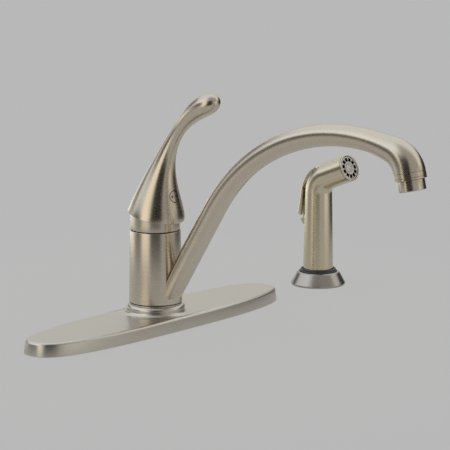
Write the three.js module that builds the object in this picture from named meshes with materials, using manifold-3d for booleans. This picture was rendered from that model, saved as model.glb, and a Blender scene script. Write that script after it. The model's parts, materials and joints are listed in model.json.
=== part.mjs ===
// Single-lever kitchen faucet with a deck plate and a separate side spray.
// Millimetres, +Z up. The origin is on the deck, on the axis of the faucet body.
// The spout, the lever and the spray nozzle face -Y, and the deck plate lies along X.

import * as THREE from 'three';
import { mergeVertices } from 'three/addons/utils/BufferGeometryUtils.js';
import Module from 'manifold-3d';

const wasm = await Module();
wasm.setup();

// ---------------------------------------------------------------------------
// Driving dimensions
// ---------------------------------------------------------------------------

// Clearances
const seatGap = 0.3; // between two pieces that rest on each other
const turnGap = 0.4; // between a shaft and the bore it turns in
const overlap = 0.5; // how far a cutting shape runs past the face it opens
const edgeBreak = 0.3; // small chamfer on turned edges

// Deck plate
const plateLength = 277;
const plateWidth = 59.2;
const plateHeight = 10.4;
const plateOutlinePower = 2.8; // 2 is an ellipse, more is squarer
const plateDraft = 1.5;
const plateEdgeRound = 2.4;
const plateWall = 2.2;
const plateSkirtWall = 2.4;
const holePitch = 101.6; // distance between neighbouring holes in the deck
const studBossRadius = 7;
const studHoleRadius = 3;
const plateGasketThickness = 1.6;
const plateGasketWidth = 3.2;

// Collar that rises from the plate round the foot of the spout
const collarRise = 8.3;
const collarBulge = 2; // how far its widest ring stands out past the spout sleeve
const collarFilletWidth = 4.6;
const collarFilletHeight = 3.1;

// Brass valve body inside the spout sleeve
const postRadius = 17.2;
const baseFlangeRadius = 22.6;
const threadedNeckRadius = 15.2;
const threadedNeckHeight = 9;
const neckRise = 4.1; // its top above the sleeve
const chamberWall = 2.4;
const chamberDepth = 20;
const diverterSeatWall = 1.3; // between the diverter's outer end and the post's face
const inletOffsetX = 6;
const inletOffsetY = 3;
const inletRadius = 2.8;
const mixedOffsetY = -6;
const sprayPortOffsetY = 10.5;
const sprayPortRadius = 2.4;
const ringSection = 0.85; // radius of a seal ring's round section
const lowerSealRise = 7; // above the sleeve's lower end
const upperSealDrop = 13; // below the sleeve's upper end
const diverterRadius = 4.9;
const diverterLength = 8.6;

// Spout sleeve
const sleeveLength = 56.5;
const sleeveWall = 2.2; // at the top
const sleeveTaper = 1; // extra radius at the bottom
const glideThickness = 1.2;
const glideLip = 0.6; // rim of the sleeve outside the upper glide ring
const slitHeight = 0.6; // dark line between sleeve and bonnet cap

// Spout tube, seen from the side, with the distance forward from the body axis
const spoutStartForward = 20.5;
const spoutStartRise = 15.4; // above the sleeve's lower end
const spoutSlope = 57.6; // degrees above the horizontal
const spoutStraight = 75.8;
const spoutCrestRadius = 149;
const spoutCrestEndSlope = -16.4;
const spoutOutletBend = 21;
const outletTilt = 13; // degrees from the vertical
const outletStraight = 4.3;
const spoutInnerStart = 14; // how far the tube starts before its line does, inside the sleeve
const spoutFootRise = 4.7; // the foot's flat underside above the sleeve's lower end
const spoutRootRadius = 8.9;
const spoutCrestTubeRadius = 8.25;
const outletCollarRadius = 11.8;
const spoutFlatHalfWidth = 6.5; // flat on the underside, near the foot
const spoutSlimShare = 0.55; // of the crest, where the tube reaches its slim radius
const spoutFlareShare = 0.88; // of the crest, where the tube starts to flare
const spoutRoundShare = 0.6; // of the crest, where the flat underside has filled out
const spoutFlatShare = 0.75; // of the straight, where the flat underside starts to fill out
const spoutWall = 2.4;
const spoutBoreRadius = 5;
const collarGroovePitch = 3.7;
const collarGrooveDepth = 0.45;
const collarGrooveWidth = 0.6;
const collarGrooveLow = 1.2; // plain stretch below the lower groove
const waterwayRise = 21.6; // middle of the cross bore above the sleeve's lower end
const waterwayStart = 7; // where the water bore starts along the tube

// Aerator
const aeratorRadius = 10;
const aeratorLength = 8.4; // below the outlet collar
const aeratorThreadLength = 6;
const aeratorWall = 1.6;
const aeratorEdge = 0.7;
const aeratorLipWidth = 1;
const aeratorLipThickness = 1.2;
const aeratorWasherThickness = 1.4;
const aeratorInsertThickness = 4;
const aeratorInsertSlots = 8;
const aeratorSlotWidth = 2;
const aeratorSlotLength = 3.2;
const aeratorSlotRing = 4.8;

// Ceramic-disc cartridge
const cartridgeWall = 1.5;
const cartridgeFlangeThickness = 2;
const cartridgeBaseThickness = 3;
const fixedDiscThickness = 3.5;
const movingDiscThickness = 3;
const discTravelMargin = 3.3; // room round the moving disc for its slide
const portSealThickness = 1;
const portSealWidth = 1;
const nutWall = 1.7;
const nutLipThickness = 2;
const nutNotches = 6;
const nutNotchWidth = 3;
const nutNotchLength = 5;
const nutNotchDepth = 1.2;

// Bonnet cap
const capCylinderHeight = 11.1; // up to the level of the lever pivot
const capWall = 1.8;
const capSeatWidth = 4.6; // inward ledge that rests on the nut
const capOpening = 45; // degrees above the horizontal where the dome ends

// Lever mechanism
const leverRestTilt = 14; // degrees forward when the water is off
const spindleArm = 12; // pivot to the middle of the ball
const spindleBallRadius = 2.6;
const spindleRadius = 3.3;
const spindleNeckRadius = 1.7;
const spindleTop = 24.6; // above the pivot
const leverPinRadius = 1.5;
const guideNeckRadius = 8.8;
const guideTopRise = 3.8; // above the pivot

// Lever handle, a dome that runs up into a slim lever with a rounded end
const skirtGap = 0.7; // between the bonnet dome and the inside of the handle
const skirtWall = 2.3; // at the rim
const handleReach = 63.8;
const handleRise = 95.2; // from the pivot to the middle of the lever's tip
const handleRootPull = 11;
const handleTipPullForward = 3.9;
const handleTipPullRise = 75.5;
const handleWaistRadius = 5.1;
const handleWaistAlong = 74; // distance along the lever to its slimmest place
const handleKnobHalfWidth = 9.2;
const handleKnobHalfDepth = 8.2;
const handleKnobAlong = 109;
const handleFrontBulge = 0.9; // how far the dome is set forward of its axis
const handleHubRadius = 6.4;
const handleHubBottom = 12.5; // above the pivot
const buttonRise = 16.4; // above the pivot
const buttonRadius = 4.5;
const buttonThickness = 3.2;
const buttonDotRadius = 0.95;
const buttonDotDepth = 0.6;
const buttonDotOffset = 2.2;
const setScrewRadius = 2;
const setScrewLength = 3;

// Side spray: holder on the deck
const sprayForward = 0.9; // of the body axis
const holderRadius = 23;
const holderHeight = 11.2;
const holderTopRadius = 17.4;
const holderMouthRadius = 15.8;
const holderWall = 2;
const guideRingRise = 2.6; // above the holder
const holderGasketThickness = 1.5;

// Side spray: wand
const wandRadius = 12.7;
const wandTopRadius = 11.3;
const wandNeckRadius = 11.2;
const wandFoot = 3; // above the deck
const wandBendStart = 78; // above the deck
const wandBendRadius = 16;
const wandNeckSlope = 22; // degrees above the horizontal
const wandNeckLength = 24.4;
const wandBoreRadius = 4.2;
const bezelWidth = 1.2;
const bezelLength = 1.4;
const facePlateThickness = 3;
const faceHoles = 11;
const faceHoleRing = 7.1; // radius of the ring of holes
const faceHoleSize = 2.7;
const faceButtonRadius = 3.1;
const faceButtonRecess = 0.8;
const nippleRadius = 6;
const nippleLength = 14;

// Side spray: trigger and its valve
const triggerStandoff = 6.8; // outer face of the lever's free end, off the wand's back
const triggerLean = 1.25; // above 1 the lever closes on the wand early, then runs along it
const triggerWidth = 14;
const triggerWeb = 1.3;
const triggerSideWall = 1.7;
const triggerSideDepth = 3; // at the free end
const triggerPinSideDepth = 5.8;
const triggerFreeEnd = 57; // above the deck
const triggerTopAngle = 64; // degrees round the bend
const triggerPinAngle = 48;
const triggerPinDepth = 3; // below the wand's back
const triggerPinRadius = 0.9;
const pocketStartDepth = 2;
const pocketDepth = 5.8;
const stopStandoff = 4.2; // the stop under the lever's free end, off the wand's back
const stopLowEnd = 48.5; // above the deck
const stopGap = 1.9; // between the stop and the lever
const stopSlope = 45; // degrees, at its lower end
const plungerRise = 72; // above the deck
const plungerRadius = 2.1;
const springWireRadius = 0.35;
const springTurns = 3.5;
const springLegLength = 5.5;
const springLegDip = 5; // degrees the outer leg slopes away from the lever

// Facets round a full circle
const fineFacets = 26;
const mediumFacets = 18;
const smallFacets = 10;

// ---------------------------------------------------------------------------
// Heights and radii that follow from them
// ---------------------------------------------------------------------------

const collarTop = plateHeight + collarRise;
const glideSeat = collarTop - glideThickness + slitHeight - 2 * seatGap + 0.1;
const sleeveBottom = collarTop + slitHeight + 0.1;
const sleeveTop = sleeveBottom + sleeveLength;
const sleeveBore = postRadius + turnGap;
const sleeveTopRadius = sleeveBore + sleeveWall;
const sleeveBottomRadius = sleeveTopRadius + sleeveTaper;
const capBottom = sleeveTop + slitHeight;
const pivotHeight = capBottom + capCylinderHeight;
const neckTop = sleeveTop + neckRise;
const postTop = neckTop - threadedNeckHeight;
const chamberRadius = threadedNeckRadius - chamberWall;
const chamberFloor = neckTop - chamberDepth;
const plateCeiling = plateHeight - plateWall;
const waterwayHeight = sleeveBottom + waterwayRise;
const nutRadius = threadedNeckRadius + seatGap + nutWall;
const capInnerRadius = nutRadius + turnGap;
const capRadius = capInnerRadius + capWall;
const skirtInnerRadius = capRadius + skirtGap;
const skirtOuterRadius = skirtInnerRadius + skirtWall;
const ballForward = -spindleArm * sine(leverRestTilt);
const ballHeight = pivotHeight - spindleArm * cosine(leverRestTilt);
const sprayX = 2 * holePitch;

// ---------------------------------------------------------------------------
// Small geometry helpers
// ---------------------------------------------------------------------------

function sine(degrees) {
  return Math.sin(THREE.MathUtils.degToRad(degrees));
}

function cosine(degrees) {
  return Math.cos(THREE.MathUtils.degToRad(degrees));
}

// Blends 0 to 1 with level ends as value goes from low to high.
function ease(value, low, high) {
  return THREE.MathUtils.smoothstep(value, low, high);
}

// A point given by its distance forward of the body axis and its height.
function forwardUp(forward, up, side = 0) {
  return new THREE.Vector3(side, -forward, up);
}

function signedVolume(position, triangles) {
  const a = new THREE.Vector3();
  const b = new THREE.Vector3();
  const c = new THREE.Vector3();
  let sum = 0;
  for (let i = 0; i < triangles.length; i += 3) {
    a.fromBufferAttribute(position, triangles[i]);
    b.fromBufferAttribute(position, triangles[i + 1]);
    c.fromBufferAttribute(position, triangles[i + 2]);
    sum += a.dot(b.cross(c)) / 6;
  }
  return sum;
}

// A closed geometry as a solid that can be joined and cut.
function solid(geometry) {
  const bare = geometry.clone();
  bare.deleteAttribute('normal');
  bare.deleteAttribute('uv');
  const welded = mergeVertices(bare, 1e-4);
  const position = welded.getAttribute('position');
  const corners = welded.getIndex().array;
  const triangles = [];
  for (let i = 0; i < corners.length; i += 3) {
    const [a, b, c] = [corners[i], corners[i + 1], corners[i + 2]];
    if (a !== b && b !== c && c !== a) triangles.push(a, b, c);
  }
  if (signedVolume(position, triangles) < 0) triangles.reverse();
  return new wasm.Manifold(new wasm.Mesh({
    numProp: 3,
    vertProperties: new Float32Array(position.array),
    triVerts: new Uint32Array(triangles),
  }));
}

function joined(first, ...others) {
  return others.reduce((whole, next) => whole.add(next), first);
}

function cut(whole, ...tools) {
  return tools.reduce((rest, tool) => rest.subtract(tool), whole);
}

// A solid of revolution about the vertical. The profile is a closed ring of [radius, height].
function revolved(profile, facets = mediumFacets, place = null) {
  const points = profile.map(([radius, height]) => new THREE.Vector2(radius, height));
  points.push(points[0].clone());
  const geometry = new THREE.LatheGeometry(points, facets);
  geometry.rotateX(Math.PI / 2);
  if (place) geometry.applyMatrix4(place);
  return solid(geometry);
}

function disc(radius, low, high, facets = mediumFacets, x = 0, y = 0) {
  const geometry = new THREE.CylinderGeometry(radius, radius, high - low, facets);
  geometry.rotateX(Math.PI / 2);
  geometry.translate(x, y, (low + high) / 2);
  return solid(geometry);
}

function ring(inner, outer, low, high, facets = mediumFacets, place = null) {
  return revolved([[inner, low], [outer, low], [outer, high], [inner, high]], facets, place);
}

function sealRing(middleRadius, height, section = ringSection, facets = fineFacets) {
  const geometry = new THREE.TorusGeometry(middleRadius, section, 6, facets);
  geometry.translate(0, 0, height);
  return solid(geometry);
}

function box(sizeX, sizeY, sizeZ, x, y, z, place = null) {
  const geometry = new THREE.BoxGeometry(sizeX, sizeY, sizeZ);
  geometry.translate(x, y, z);
  if (place) geometry.applyMatrix4(place);
  return solid(geometry);
}

// A cylinder from one point to another.
function rod(from, to, radius, facets = smallFacets) {
  const along = to.clone().sub(from);
  const geometry = new THREE.CylinderGeometry(radius, radius, along.length(), facets);
  const turn = new THREE.Quaternion().setFromUnitVectors(new THREE.Vector3(0, 1, 0), along.normalize());
  geometry.applyQuaternion(turn);
  geometry.translate((from.x + to.x) / 2, (from.y + to.y) / 2, (from.z + to.z) / 2);
  return solid(geometry);
}

// Points of an arc as [radius, height], angles in degrees from the outward direction.
function arc(centreRadius, centreHeight, radius, fromAngle, toAngle, steps) {
  return Array.from({ length: steps + 1 }, (_, step) => {
    const angle = THREE.MathUtils.lerp(fromAngle, toAngle, step / steps);
    return [centreRadius + radius * cosine(angle), centreHeight + radius * sine(angle)];
  });
}

// A closed skin through rings of points with equal counts, with both ends filled.
function loft(rings) {
  const count = rings[0].length;
  const points = rings.flat();
  const triangles = [];
  for (let level = 0; level < rings.length - 1; level += 1) {
    for (let i = 0; i < count; i += 1) {
      const here = level * count + i;
      const next = level * count + (i + 1) % count;
      triangles.push(here, next, here + count, next, next + count, here + count);
    }
  }
  for (const [level, turned] of [[0, true], [rings.length - 1, false]]) {
    const middle = points.length;
    const centre = rings[level].reduce((sum, p) => sum.add(p), new THREE.Vector3()).divideScalar(count);
    points.push(centre);
    for (let i = 0; i < count; i += 1) {
      const here = level * count + i;
      const next = level * count + (i + 1) % count;
      triangles.push(...(turned ? [middle, next, here] : [middle, here, next]));
    }
  }
  const geometry = new THREE.BufferGeometry().setFromPoints(points);
  geometry.setIndex(triangles);
  return solid(geometry);
}

// Equal shapes evenly spaced round the Z axis of a place. Each is made for its turned place.
function around(count, place, make) {
  return Array.from({ length: count }, (_, i) => (
    make(place.clone().multiply(new THREE.Matrix4().makeRotationZ((2 * Math.PI * i) / count)))));
}

// Places a shape drawn along +Z so that it points along a slope in the body's middle plane.
// The slope is in degrees above the horizontal, towards the front.
function placedAlong(forward, up, slope, side = 0) {
  const place = new THREE.Matrix4().makeTranslation(side, -forward, up);
  return place.multiply(new THREE.Matrix4().makeRotationX(THREE.MathUtils.degToRad(90 - slope)));
}

// A path in the middle plane made of straights and arcs, each tangent to the last.
// It is walked by distance, and gives the place and the slope in degrees.
function makePath(forward, up, slope, stretches) {
  const runs = [];
  let start = { forward, up, slope };
  for (const stretch of stretches) {
    const length = stretch.length ?? THREE.MathUtils.degToRad(start.slope - stretch.toSlope) * stretch.radius;
    const run = { ...stretch, start, length };
    runs.push(run);
    start = pointOnRun(run, length);
  }
  const total = runs.reduce((sum, run) => sum + run.length, 0);
  const at = (distance) => {
    let left = distance;
    for (const run of runs.slice(0, -1)) {
      if (left <= run.length) return pointOnRun(run, left);
      left -= run.length;
    }
    return pointOnRun(runs[runs.length - 1], left);
  };
  return { total, at, lengths: runs.map((run) => run.length) };
}

function pointOnRun({ start, radius }, distance) {
  if (!radius) {
    return {
      forward: start.forward + distance * cosine(start.slope),
      up: start.up + distance * sine(start.slope),
      slope: start.slope,
    };
  }
  const slope = start.slope - THREE.MathUtils.radToDeg(distance / radius);
  return {
    forward: start.forward + radius * (sine(start.slope) - sine(slope)),
    up: start.up + radius * (cosine(slope) - cosine(start.slope)),
    slope,
  };
}

// Rings of points across a path. The section gives [side, lift] pairs at a distance,
// lift being square to the path and upwards.
function ringsAlong(path, distances, section) {
  return distances.map((distance) => {
    const { forward, up, slope } = path.at(distance);
    return section(distance).map(([side, lift]) => (
      forwardUp(forward - lift * sine(slope), up + lift * cosine(slope), side)
    ));
  });
}

function roundSection(radius, facets) {
  return Array.from({ length: facets }, (_, i) => {
    const angle = (360 * i) / facets;
    return [radius * sine(angle), radius * cosine(angle)];
  });
}

// Values from low to high in equal steps, both ends included.
function evenly(low, high, count) {
  return Array.from({ length: count + 1 }, (_, i) => low + ((high - low) * i) / count);
}

// ---------------------------------------------------------------------------
// Finishes
// ---------------------------------------------------------------------------

function finish(colour, metalness, roughness) {
  return () => new THREE.MeshStandardMaterial({ color: colour, metalness, roughness });
}

const brushedNickel = finish(0xb5aa94, 1, 0.34);
const brushedPlate = finish(0xb3ada0, 1, 0.4);
const brass = finish(0xb9975b, 1, 0.4);
const steel = finish(0xa9abad, 1, 0.3);
const blackRubber = finish(0x1c1c1d, 0, 0.85);
const blackPlastic = finish(0x26282a, 0, 0.5);
const whitePlastic = finish(0xe4e3dd, 0, 0.45);
const greyPlastic = finish(0x8d9092, 0, 0.45);
const palePlastic = finish(0xd5d1c7, 0, 0.4);
const ceramic = finish(0xf1efe9, 0, 0.25);
const redPaint = finish(0xa3201d, 0, 0.4);
const bluePaint = finish(0x263a78, 0, 0.4);

const faucet = new THREE.Group();

function addPiece(name, shape, material, parent = faucet) {
  const { vertProperties, triVerts } = shape.getMesh();
  const geometry = new THREE.BufferGeometry();
  geometry.setAttribute('position', new THREE.BufferAttribute(new Float32Array(vertProperties), 3));
  geometry.setIndex(new THREE.BufferAttribute(new Uint32Array(triVerts), 1));
  geometry.computeVertexNormals();
  const mesh = new THREE.Mesh(geometry, material());
  mesh.name = name;
  parent.add(mesh);
  return mesh;
}

// ---------------------------------------------------------------------------
// Deck plate
// ---------------------------------------------------------------------------

// One level of the plate's outline, drawn in by an inset on all sides.
function plateRing(inset, height, points = 52) {
  const halfLength = plateLength / 2 - inset;
  const halfWidth = plateWidth / 2 - inset;
  return Array.from({ length: points }, (_, i) => {
    const angle = (360 * i) / points;
    const along = Math.sign(cosine(angle)) * Math.abs(cosine(angle)) ** (2 / plateOutlinePower);
    const across = Math.sign(sine(angle)) * Math.abs(sine(angle)) ** (2 / plateOutlinePower);
    return new THREE.Vector3(halfLength * along, halfWidth * across, height);
  });
}

function plateShell() {
  const levels = [plateRing(0, 0), plateRing(plateDraft, plateHeight - plateEdgeRound)];
  for (const angle of [30, 60, 90]) {
    const inset = plateDraft + plateEdgeRound * (1 - cosine(angle));
    levels.push(plateRing(inset, plateHeight - plateEdgeRound * (1 - sine(angle))));
  }
  const hollow = loft([
    plateRing(plateSkirtWall, -overlap),
    plateRing(plateSkirtWall + plateDraft, plateCeiling),
  ]);
  return cut(loft(levels), hollow);
}

// The ring-shaped rise in the plate's middle, with a soft bulge and a hollow fillet at its foot.
function collarProfile() {
  const bulgeRadius = sleeveBottomRadius + collarBulge;
  const waistRadius = bulgeRadius - 0.4;
  const footRadius = waistRadius + collarFilletWidth;
  const filletTop = plateHeight + collarFilletHeight;
  const fillet = [0, 30, 60, 90].map((angle) => [
    footRadius - collarFilletWidth * sine(angle),
    filletTop - (collarFilletHeight + 0.05) * cosine(angle),
  ]);
  const crown = arc(bulgeRadius - 3.2, filletTop + 1.2, 3.2, 0, 76, 4);
  return [
    [sleeveBore, plateCeiling],
    [footRadius, plateCeiling],
    ...fillet,
    ...crown,
    [sleeveBottomRadius, collarTop],
    [sleeveTopRadius + 0.4, collarTop],
    [sleeveTopRadius + 0.4, glideSeat - seatGap],
    [sleeveBore, glideSeat - seatGap],
  ];
}

function deckPlate() {
  const opening = disc(sleeveBore, -overlap, plateHeight + overlap, fineFacets);
  const collar = revolved(collarProfile(), fineFacets);
  const bosses = [-holePitch, holePitch].map((x) => cut(
    disc(studBossRadius, 0, plateCeiling + 0.1, smallFacets, x),
    disc(studHoleRadius, -overlap, plateCeiling - 1, smallFacets, x),
  ));
  return joined(cut(plateShell(), opening), collar, ...bosses);
}

// A flat foam seal that follows the inside of the plate's skirt.
function plateGasket() {
  const outer = plateSkirtWall + seatGap + plateDraft * plateGasketThickness / plateCeiling;
  const inner = outer + plateGasketWidth;
  return cut(
    loft([plateRing(outer, 0), plateRing(outer, plateGasketThickness)]),
    loft([plateRing(inner, -overlap), plateRing(inner, plateGasketThickness + overlap)]),
  );
}

// ---------------------------------------------------------------------------
// Valve body and what turns on it
// ---------------------------------------------------------------------------

const lowerSealHeight = sleeveBottom + lowerSealRise;
const upperSealHeight = sleeveTop - upperSealDrop;
const sealMiddleRadius = sleeveBore - 0.15 - ringSection;

function valveBody() {
  const grooveFloor = sealMiddleRadius - ringSection - 0.15;
  const grooveHalf = ringSection + 0.35;
  const groove = (height) => [
    [postRadius, height - grooveHalf],
    [grooveFloor, height - grooveHalf],
    [grooveFloor, height + grooveHalf],
    [postRadius, height + grooveHalf],
  ];
  const casting = revolved([
    [0, 0],
    [baseFlangeRadius, 0],
    [baseFlangeRadius, plateCeiling - seatGap],
    [postRadius, plateCeiling - seatGap],
    ...groove(lowerSealHeight),
    [postRadius, waterwayHeight - 9],
    [postRadius - 1, waterwayHeight - 8],
    [postRadius - 1, waterwayHeight + 8],
    [postRadius, waterwayHeight + 9],
    ...groove(upperSealHeight),
    [postRadius, postTop],
    [threadedNeckRadius, postTop],
    [threadedNeckRadius, neckTop],
    [chamberRadius, neckTop],
    [chamberRadius, chamberFloor],
    [0, chamberFloor],
  ], fineFacets);
  const floor = chamberFloor + overlap;
  const inlets = [-inletOffsetX, inletOffsetX].map((x) => (
    disc(inletRadius, -overlap, floor, smallFacets, x, inletOffsetY)));
  const mixed = disc(inletRadius, waterwayHeight, floor, smallFacets, 0, mixedOffsetY);
  const sprayFeed = disc(sprayPortRadius, -overlap, waterwayHeight, smallFacets, 0, sprayPortOffsetY);
  const front = forwardUp(postRadius + overlap, waterwayHeight);
  const crossBore = rod(front, forwardUp(-sprayPortOffsetY, waterwayHeight), sprayPortRadius);
  const diverterSeat = rod(front, forwardUp(postRadius - diverterSeatWall - diverterLength, waterwayHeight),
    diverterRadius + seatGap);
  return cut(casting, ...inlets, mixed, sprayFeed, crossBore, diverterSeat);
}

// The spool that sends the water to the spray when its trigger is pressed.
function diverter() {
  const outer = postRadius - diverterSeatWall;
  const place = placedAlong(outer - diverterLength, waterwayHeight, 0);
  return revolved([
    [1.5, 0],
    [diverterRadius, 0],
    [diverterRadius, 2],
    [diverterRadius - 1, 2.6],
    [diverterRadius - 1, diverterLength - 2.6],
    [diverterRadius, diverterLength - 2],
    [diverterRadius, diverterLength],
    [1.5, diverterLength],
  ], smallFacets, place);
}

function lowerGlideRing() {
  return ring(sleeveBore + seatGap, sleeveTopRadius, glideSeat, sleeveBottom - seatGap, fineFacets);
}

const upperGlideBottom = sleeveTop - glideThickness + seatGap;

function upperGlideRing() {
  const outer = sleeveTopRadius - glideLip - seatGap;
  return ring(sleeveBore + seatGap, outer, upperGlideBottom, capBottom - seatGap, fineFacets);
}

// ---------------------------------------------------------------------------
// Spout
// ---------------------------------------------------------------------------

const spoutPath = makePath(spoutStartForward, sleeveBottom + spoutStartRise, spoutSlope, [
  { length: spoutStraight },
  { radius: spoutCrestRadius, toSlope: spoutCrestEndSlope },
  { radius: spoutOutletBend, toSlope: outletTilt - 90 },
  { length: outletStraight },
]);

// Tube radius by distance: slims towards the crest and flares in the last bend.
function spoutRadius(distance) {
  const [straight, crest, bend] = spoutPath.lengths;
  const slimming = ease(distance, 0, straight + crest * spoutSlimShare);
  const slim = THREE.MathUtils.lerp(spoutRootRadius, spoutCrestTubeRadius, slimming);
  const bendStart = straight + crest * spoutFlareShare;
  return THREE.MathUtils.lerp(slim, outletCollarRadius, ease(distance, bendStart, straight + crest + bend));
}

// A round section whose underside is flat at the foot and fills out to round along the tube.
function spoutSection(distance) {
  const radius = spoutRadius(distance);
  const [straight, crest] = spoutPath.lengths;
  const flatShare = 1 - ease(distance, straight * spoutFlatShare, straight + crest * spoutRoundShare);
  const ridge = THREE.MathUtils.radToDeg(Math.asin(spoutFlatHalfWidth / spoutRootRadius));
  const flatPoints = 5;
  const roundPoints = 14;
  const section = [];
  for (let i = 0; i < roundPoints; i += 1) {
    const angle = THREE.MathUtils.lerp(-180 + ridge, 180 - ridge, i / roundPoints);
    section.push([radius * sine(angle), radius * cosine(angle)]);
  }
  for (let i = 0; i < flatPoints; i += 1) {
    const share = i / flatPoints;
    const angle = THREE.MathUtils.lerp(180 - ridge, 180 + ridge, share);
    const chord = [radius * sine(ridge) * (1 - 2 * share), -radius * cosine(ridge)];
    section.push([
      THREE.MathUtils.lerp(radius * sine(angle), chord[0], flatShare),
      THREE.MathUtils.lerp(radius * cosine(angle), chord[1], flatShare),
    ]);
  }
  return section;
}

function outletPlace(distanceFromEnd) {
  const { forward, up, slope } = spoutPath.at(spoutPath.total - distanceFromEnd);
  return placedAlong(forward, up, slope);
}

function spout() {
  const sleeve = revolved([
    [sleeveBore, sleeveBottom],
    [sleeveBottomRadius - edgeBreak, sleeveBottom],
    [sleeveBottomRadius, sleeveBottom + edgeBreak],
    [sleeveTopRadius, sleeveTop - edgeBreak],
    [sleeveTopRadius - edgeBreak, sleeveTop],
    [sleeveTopRadius - glideLip, sleeveTop],
    [sleeveTopRadius - glideLip, upperGlideBottom - seatGap],
    [sleeveBore, upperGlideBottom - seatGap],
  ], fineFacets);
  const [straight, crest] = spoutPath.lengths;
  const stations = [
    ...evenly(-spoutInnerStart, straight, 4),
    ...evenly(straight, straight + crest, 13).slice(1),
    ...evenly(straight + crest, spoutPath.total, 7).slice(1),
  ];
  const tube = loft(ringsAlong(spoutPath, stations, spoutSection));
  const footCutDepth = 2 * sleeveBottomRadius;
  const underFoot = box(2 * footCutDepth, 2 * footCutDepth, footCutDepth, 0, -footCutDepth,
    sleeveBottom + spoutFootRise - footCutDepth / 2);
  const bore = disc(sleeveBore, sleeveBottom - overlap, sleeveTop + overlap, fineFacets);
  const boreStations = [
    ...evenly(waterwayStart, straight, 2),
    ...evenly(straight, straight + crest, 9).slice(1),
    ...evenly(straight + crest, spoutPath.total - aeratorSocketDepth + overlap, 3).slice(1),
  ];
  const waterway = loft(ringsAlong(spoutPath, boreStations, (distance) => (
    roundSection(Math.min(spoutBoreRadius, spoutRadius(distance) - spoutWall), 10))));
  const entry = rod(
    forwardUp(0, waterwayHeight),
    forwardUp(spoutPath.at(waterwayStart + spoutBoreRadius / 2).forward, waterwayHeight),
    spoutBoreRadius - 0.4,
    14,
  );
  const socket = revolved([
    [0, -aeratorSocketDepth],
    [aeratorSocketRadius, -aeratorSocketDepth],
    [aeratorSocketRadius, overlap],
    [0, overlap],
  ], mediumFacets, outletPlace(0));
  const grooves = [0, 1].map((i) => {
    const low = -collarGrooveLow - collarGroovePitch * i - collarGrooveWidth;
    return ring(outletCollarRadius - collarGrooveDepth, outletCollarRadius + 1, low, low + collarGrooveWidth,
      mediumFacets, outletPlace(0));
  });
  const casting = cut(joined(sleeve, cut(tube, underFoot)), bore);
  return cut(casting, waterway, entry, socket, ...grooves);
}

// ---------------------------------------------------------------------------
// Aerator
// ---------------------------------------------------------------------------

const aeratorThreadRadius = aeratorRadius - 0.9;
const aeratorSocketRadius = aeratorThreadRadius + seatGap;
const aeratorSocketDepth = aeratorThreadLength + aeratorWasherThickness + 2 * seatGap;
const aeratorBore = aeratorThreadRadius - aeratorWall;

function aeratorHousing() {
  return revolved([
    [aeratorBore, -aeratorThreadLength],
    [aeratorThreadRadius, -aeratorThreadLength],
    [aeratorThreadRadius, seatGap],
    [aeratorRadius, seatGap],
    [aeratorRadius, aeratorLength - aeratorEdge],
    [aeratorRadius - aeratorEdge, aeratorLength],
    [aeratorBore - aeratorLipWidth, aeratorLength],
    [aeratorBore - aeratorLipWidth, aeratorLength - aeratorLipThickness],
    [aeratorBore, aeratorLength - aeratorLipThickness],
  ], mediumFacets, outletPlace(0));
}

function aeratorWasher() {
  const low = -aeratorThreadLength - seatGap - aeratorWasherThickness;
  return ring(aeratorBore - 2, aeratorThreadRadius - 0.2, low, low + aeratorWasherThickness,
    mediumFacets, outletPlace(0));
}

function aeratorInsert() {
  const low = aeratorLength - aeratorLipThickness - seatGap - aeratorInsertThickness;
  const place = outletPlace(0);
  const body = revolved([
    [0, low],
    [aeratorBore - seatGap, low],
    [aeratorBore - seatGap, low + aeratorInsertThickness],
    [0, low + aeratorInsertThickness],
  ], mediumFacets, place);
  const slots = around(aeratorInsertSlots, place, (turned) => box(
    aeratorSlotWidth, aeratorSlotLength, aeratorInsertThickness * 4, 0, aeratorSlotRing, low, turned));
  return cut(body, ...slots);
}

// ---------------------------------------------------------------------------
// Cartridge
// ---------------------------------------------------------------------------

const portPlaces = [
  { name: 'hot', x: -inletOffsetX, y: inletOffsetY },
  { name: 'cold', x: inletOffsetX, y: inletOffsetY },
  { name: 'outlet', x: 0, y: mixedOffsetY },
];
const portRadius = inletRadius - 0.2;
const portSealRadius = portRadius + portSealWidth + 0.1;
const cartridgeRadius = chamberRadius - seatGap;
const cartridgeBore = cartridgeRadius - cartridgeWall;
const baseBottom = chamberFloor + seatGap;
const baseTop = baseBottom + cartridgeBaseThickness;
const fixedDiscBottom = baseTop + seatGap;
const fixedDiscTop = fixedDiscBottom + fixedDiscThickness;
const movingDiscBottom = fixedDiscTop + seatGap;
const movingDiscTop = movingDiscBottom + movingDiscThickness;
const movingDiscRadius = cartridgeBore - discTravelMargin;
const carrierBottom = movingDiscTop + seatGap;
const carrierTop = ballHeight + 1.05;
const guideBottom = carrierTop + 0.6;
const flangeBottom = neckTop + seatGap;
const flangeTop = flangeBottom + cartridgeFlangeThickness;
const guideFlangeTop = flangeBottom - seatGap - 0.1;
const cartridgeLipRadius = guideNeckRadius + turnGap;

function cartridgeHousing() {
  return revolved([
    [cartridgeBore, fixedDiscBottom],
    [cartridgeRadius, fixedDiscBottom],
    [cartridgeRadius, flangeBottom],
    [threadedNeckRadius - 0.2, flangeBottom],
    [threadedNeckRadius - 0.2, flangeTop],
    [cartridgeLipRadius, flangeTop],
    [cartridgeLipRadius, flangeBottom],
    [cartridgeBore, flangeBottom],
  ], mediumFacets);
}

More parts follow.
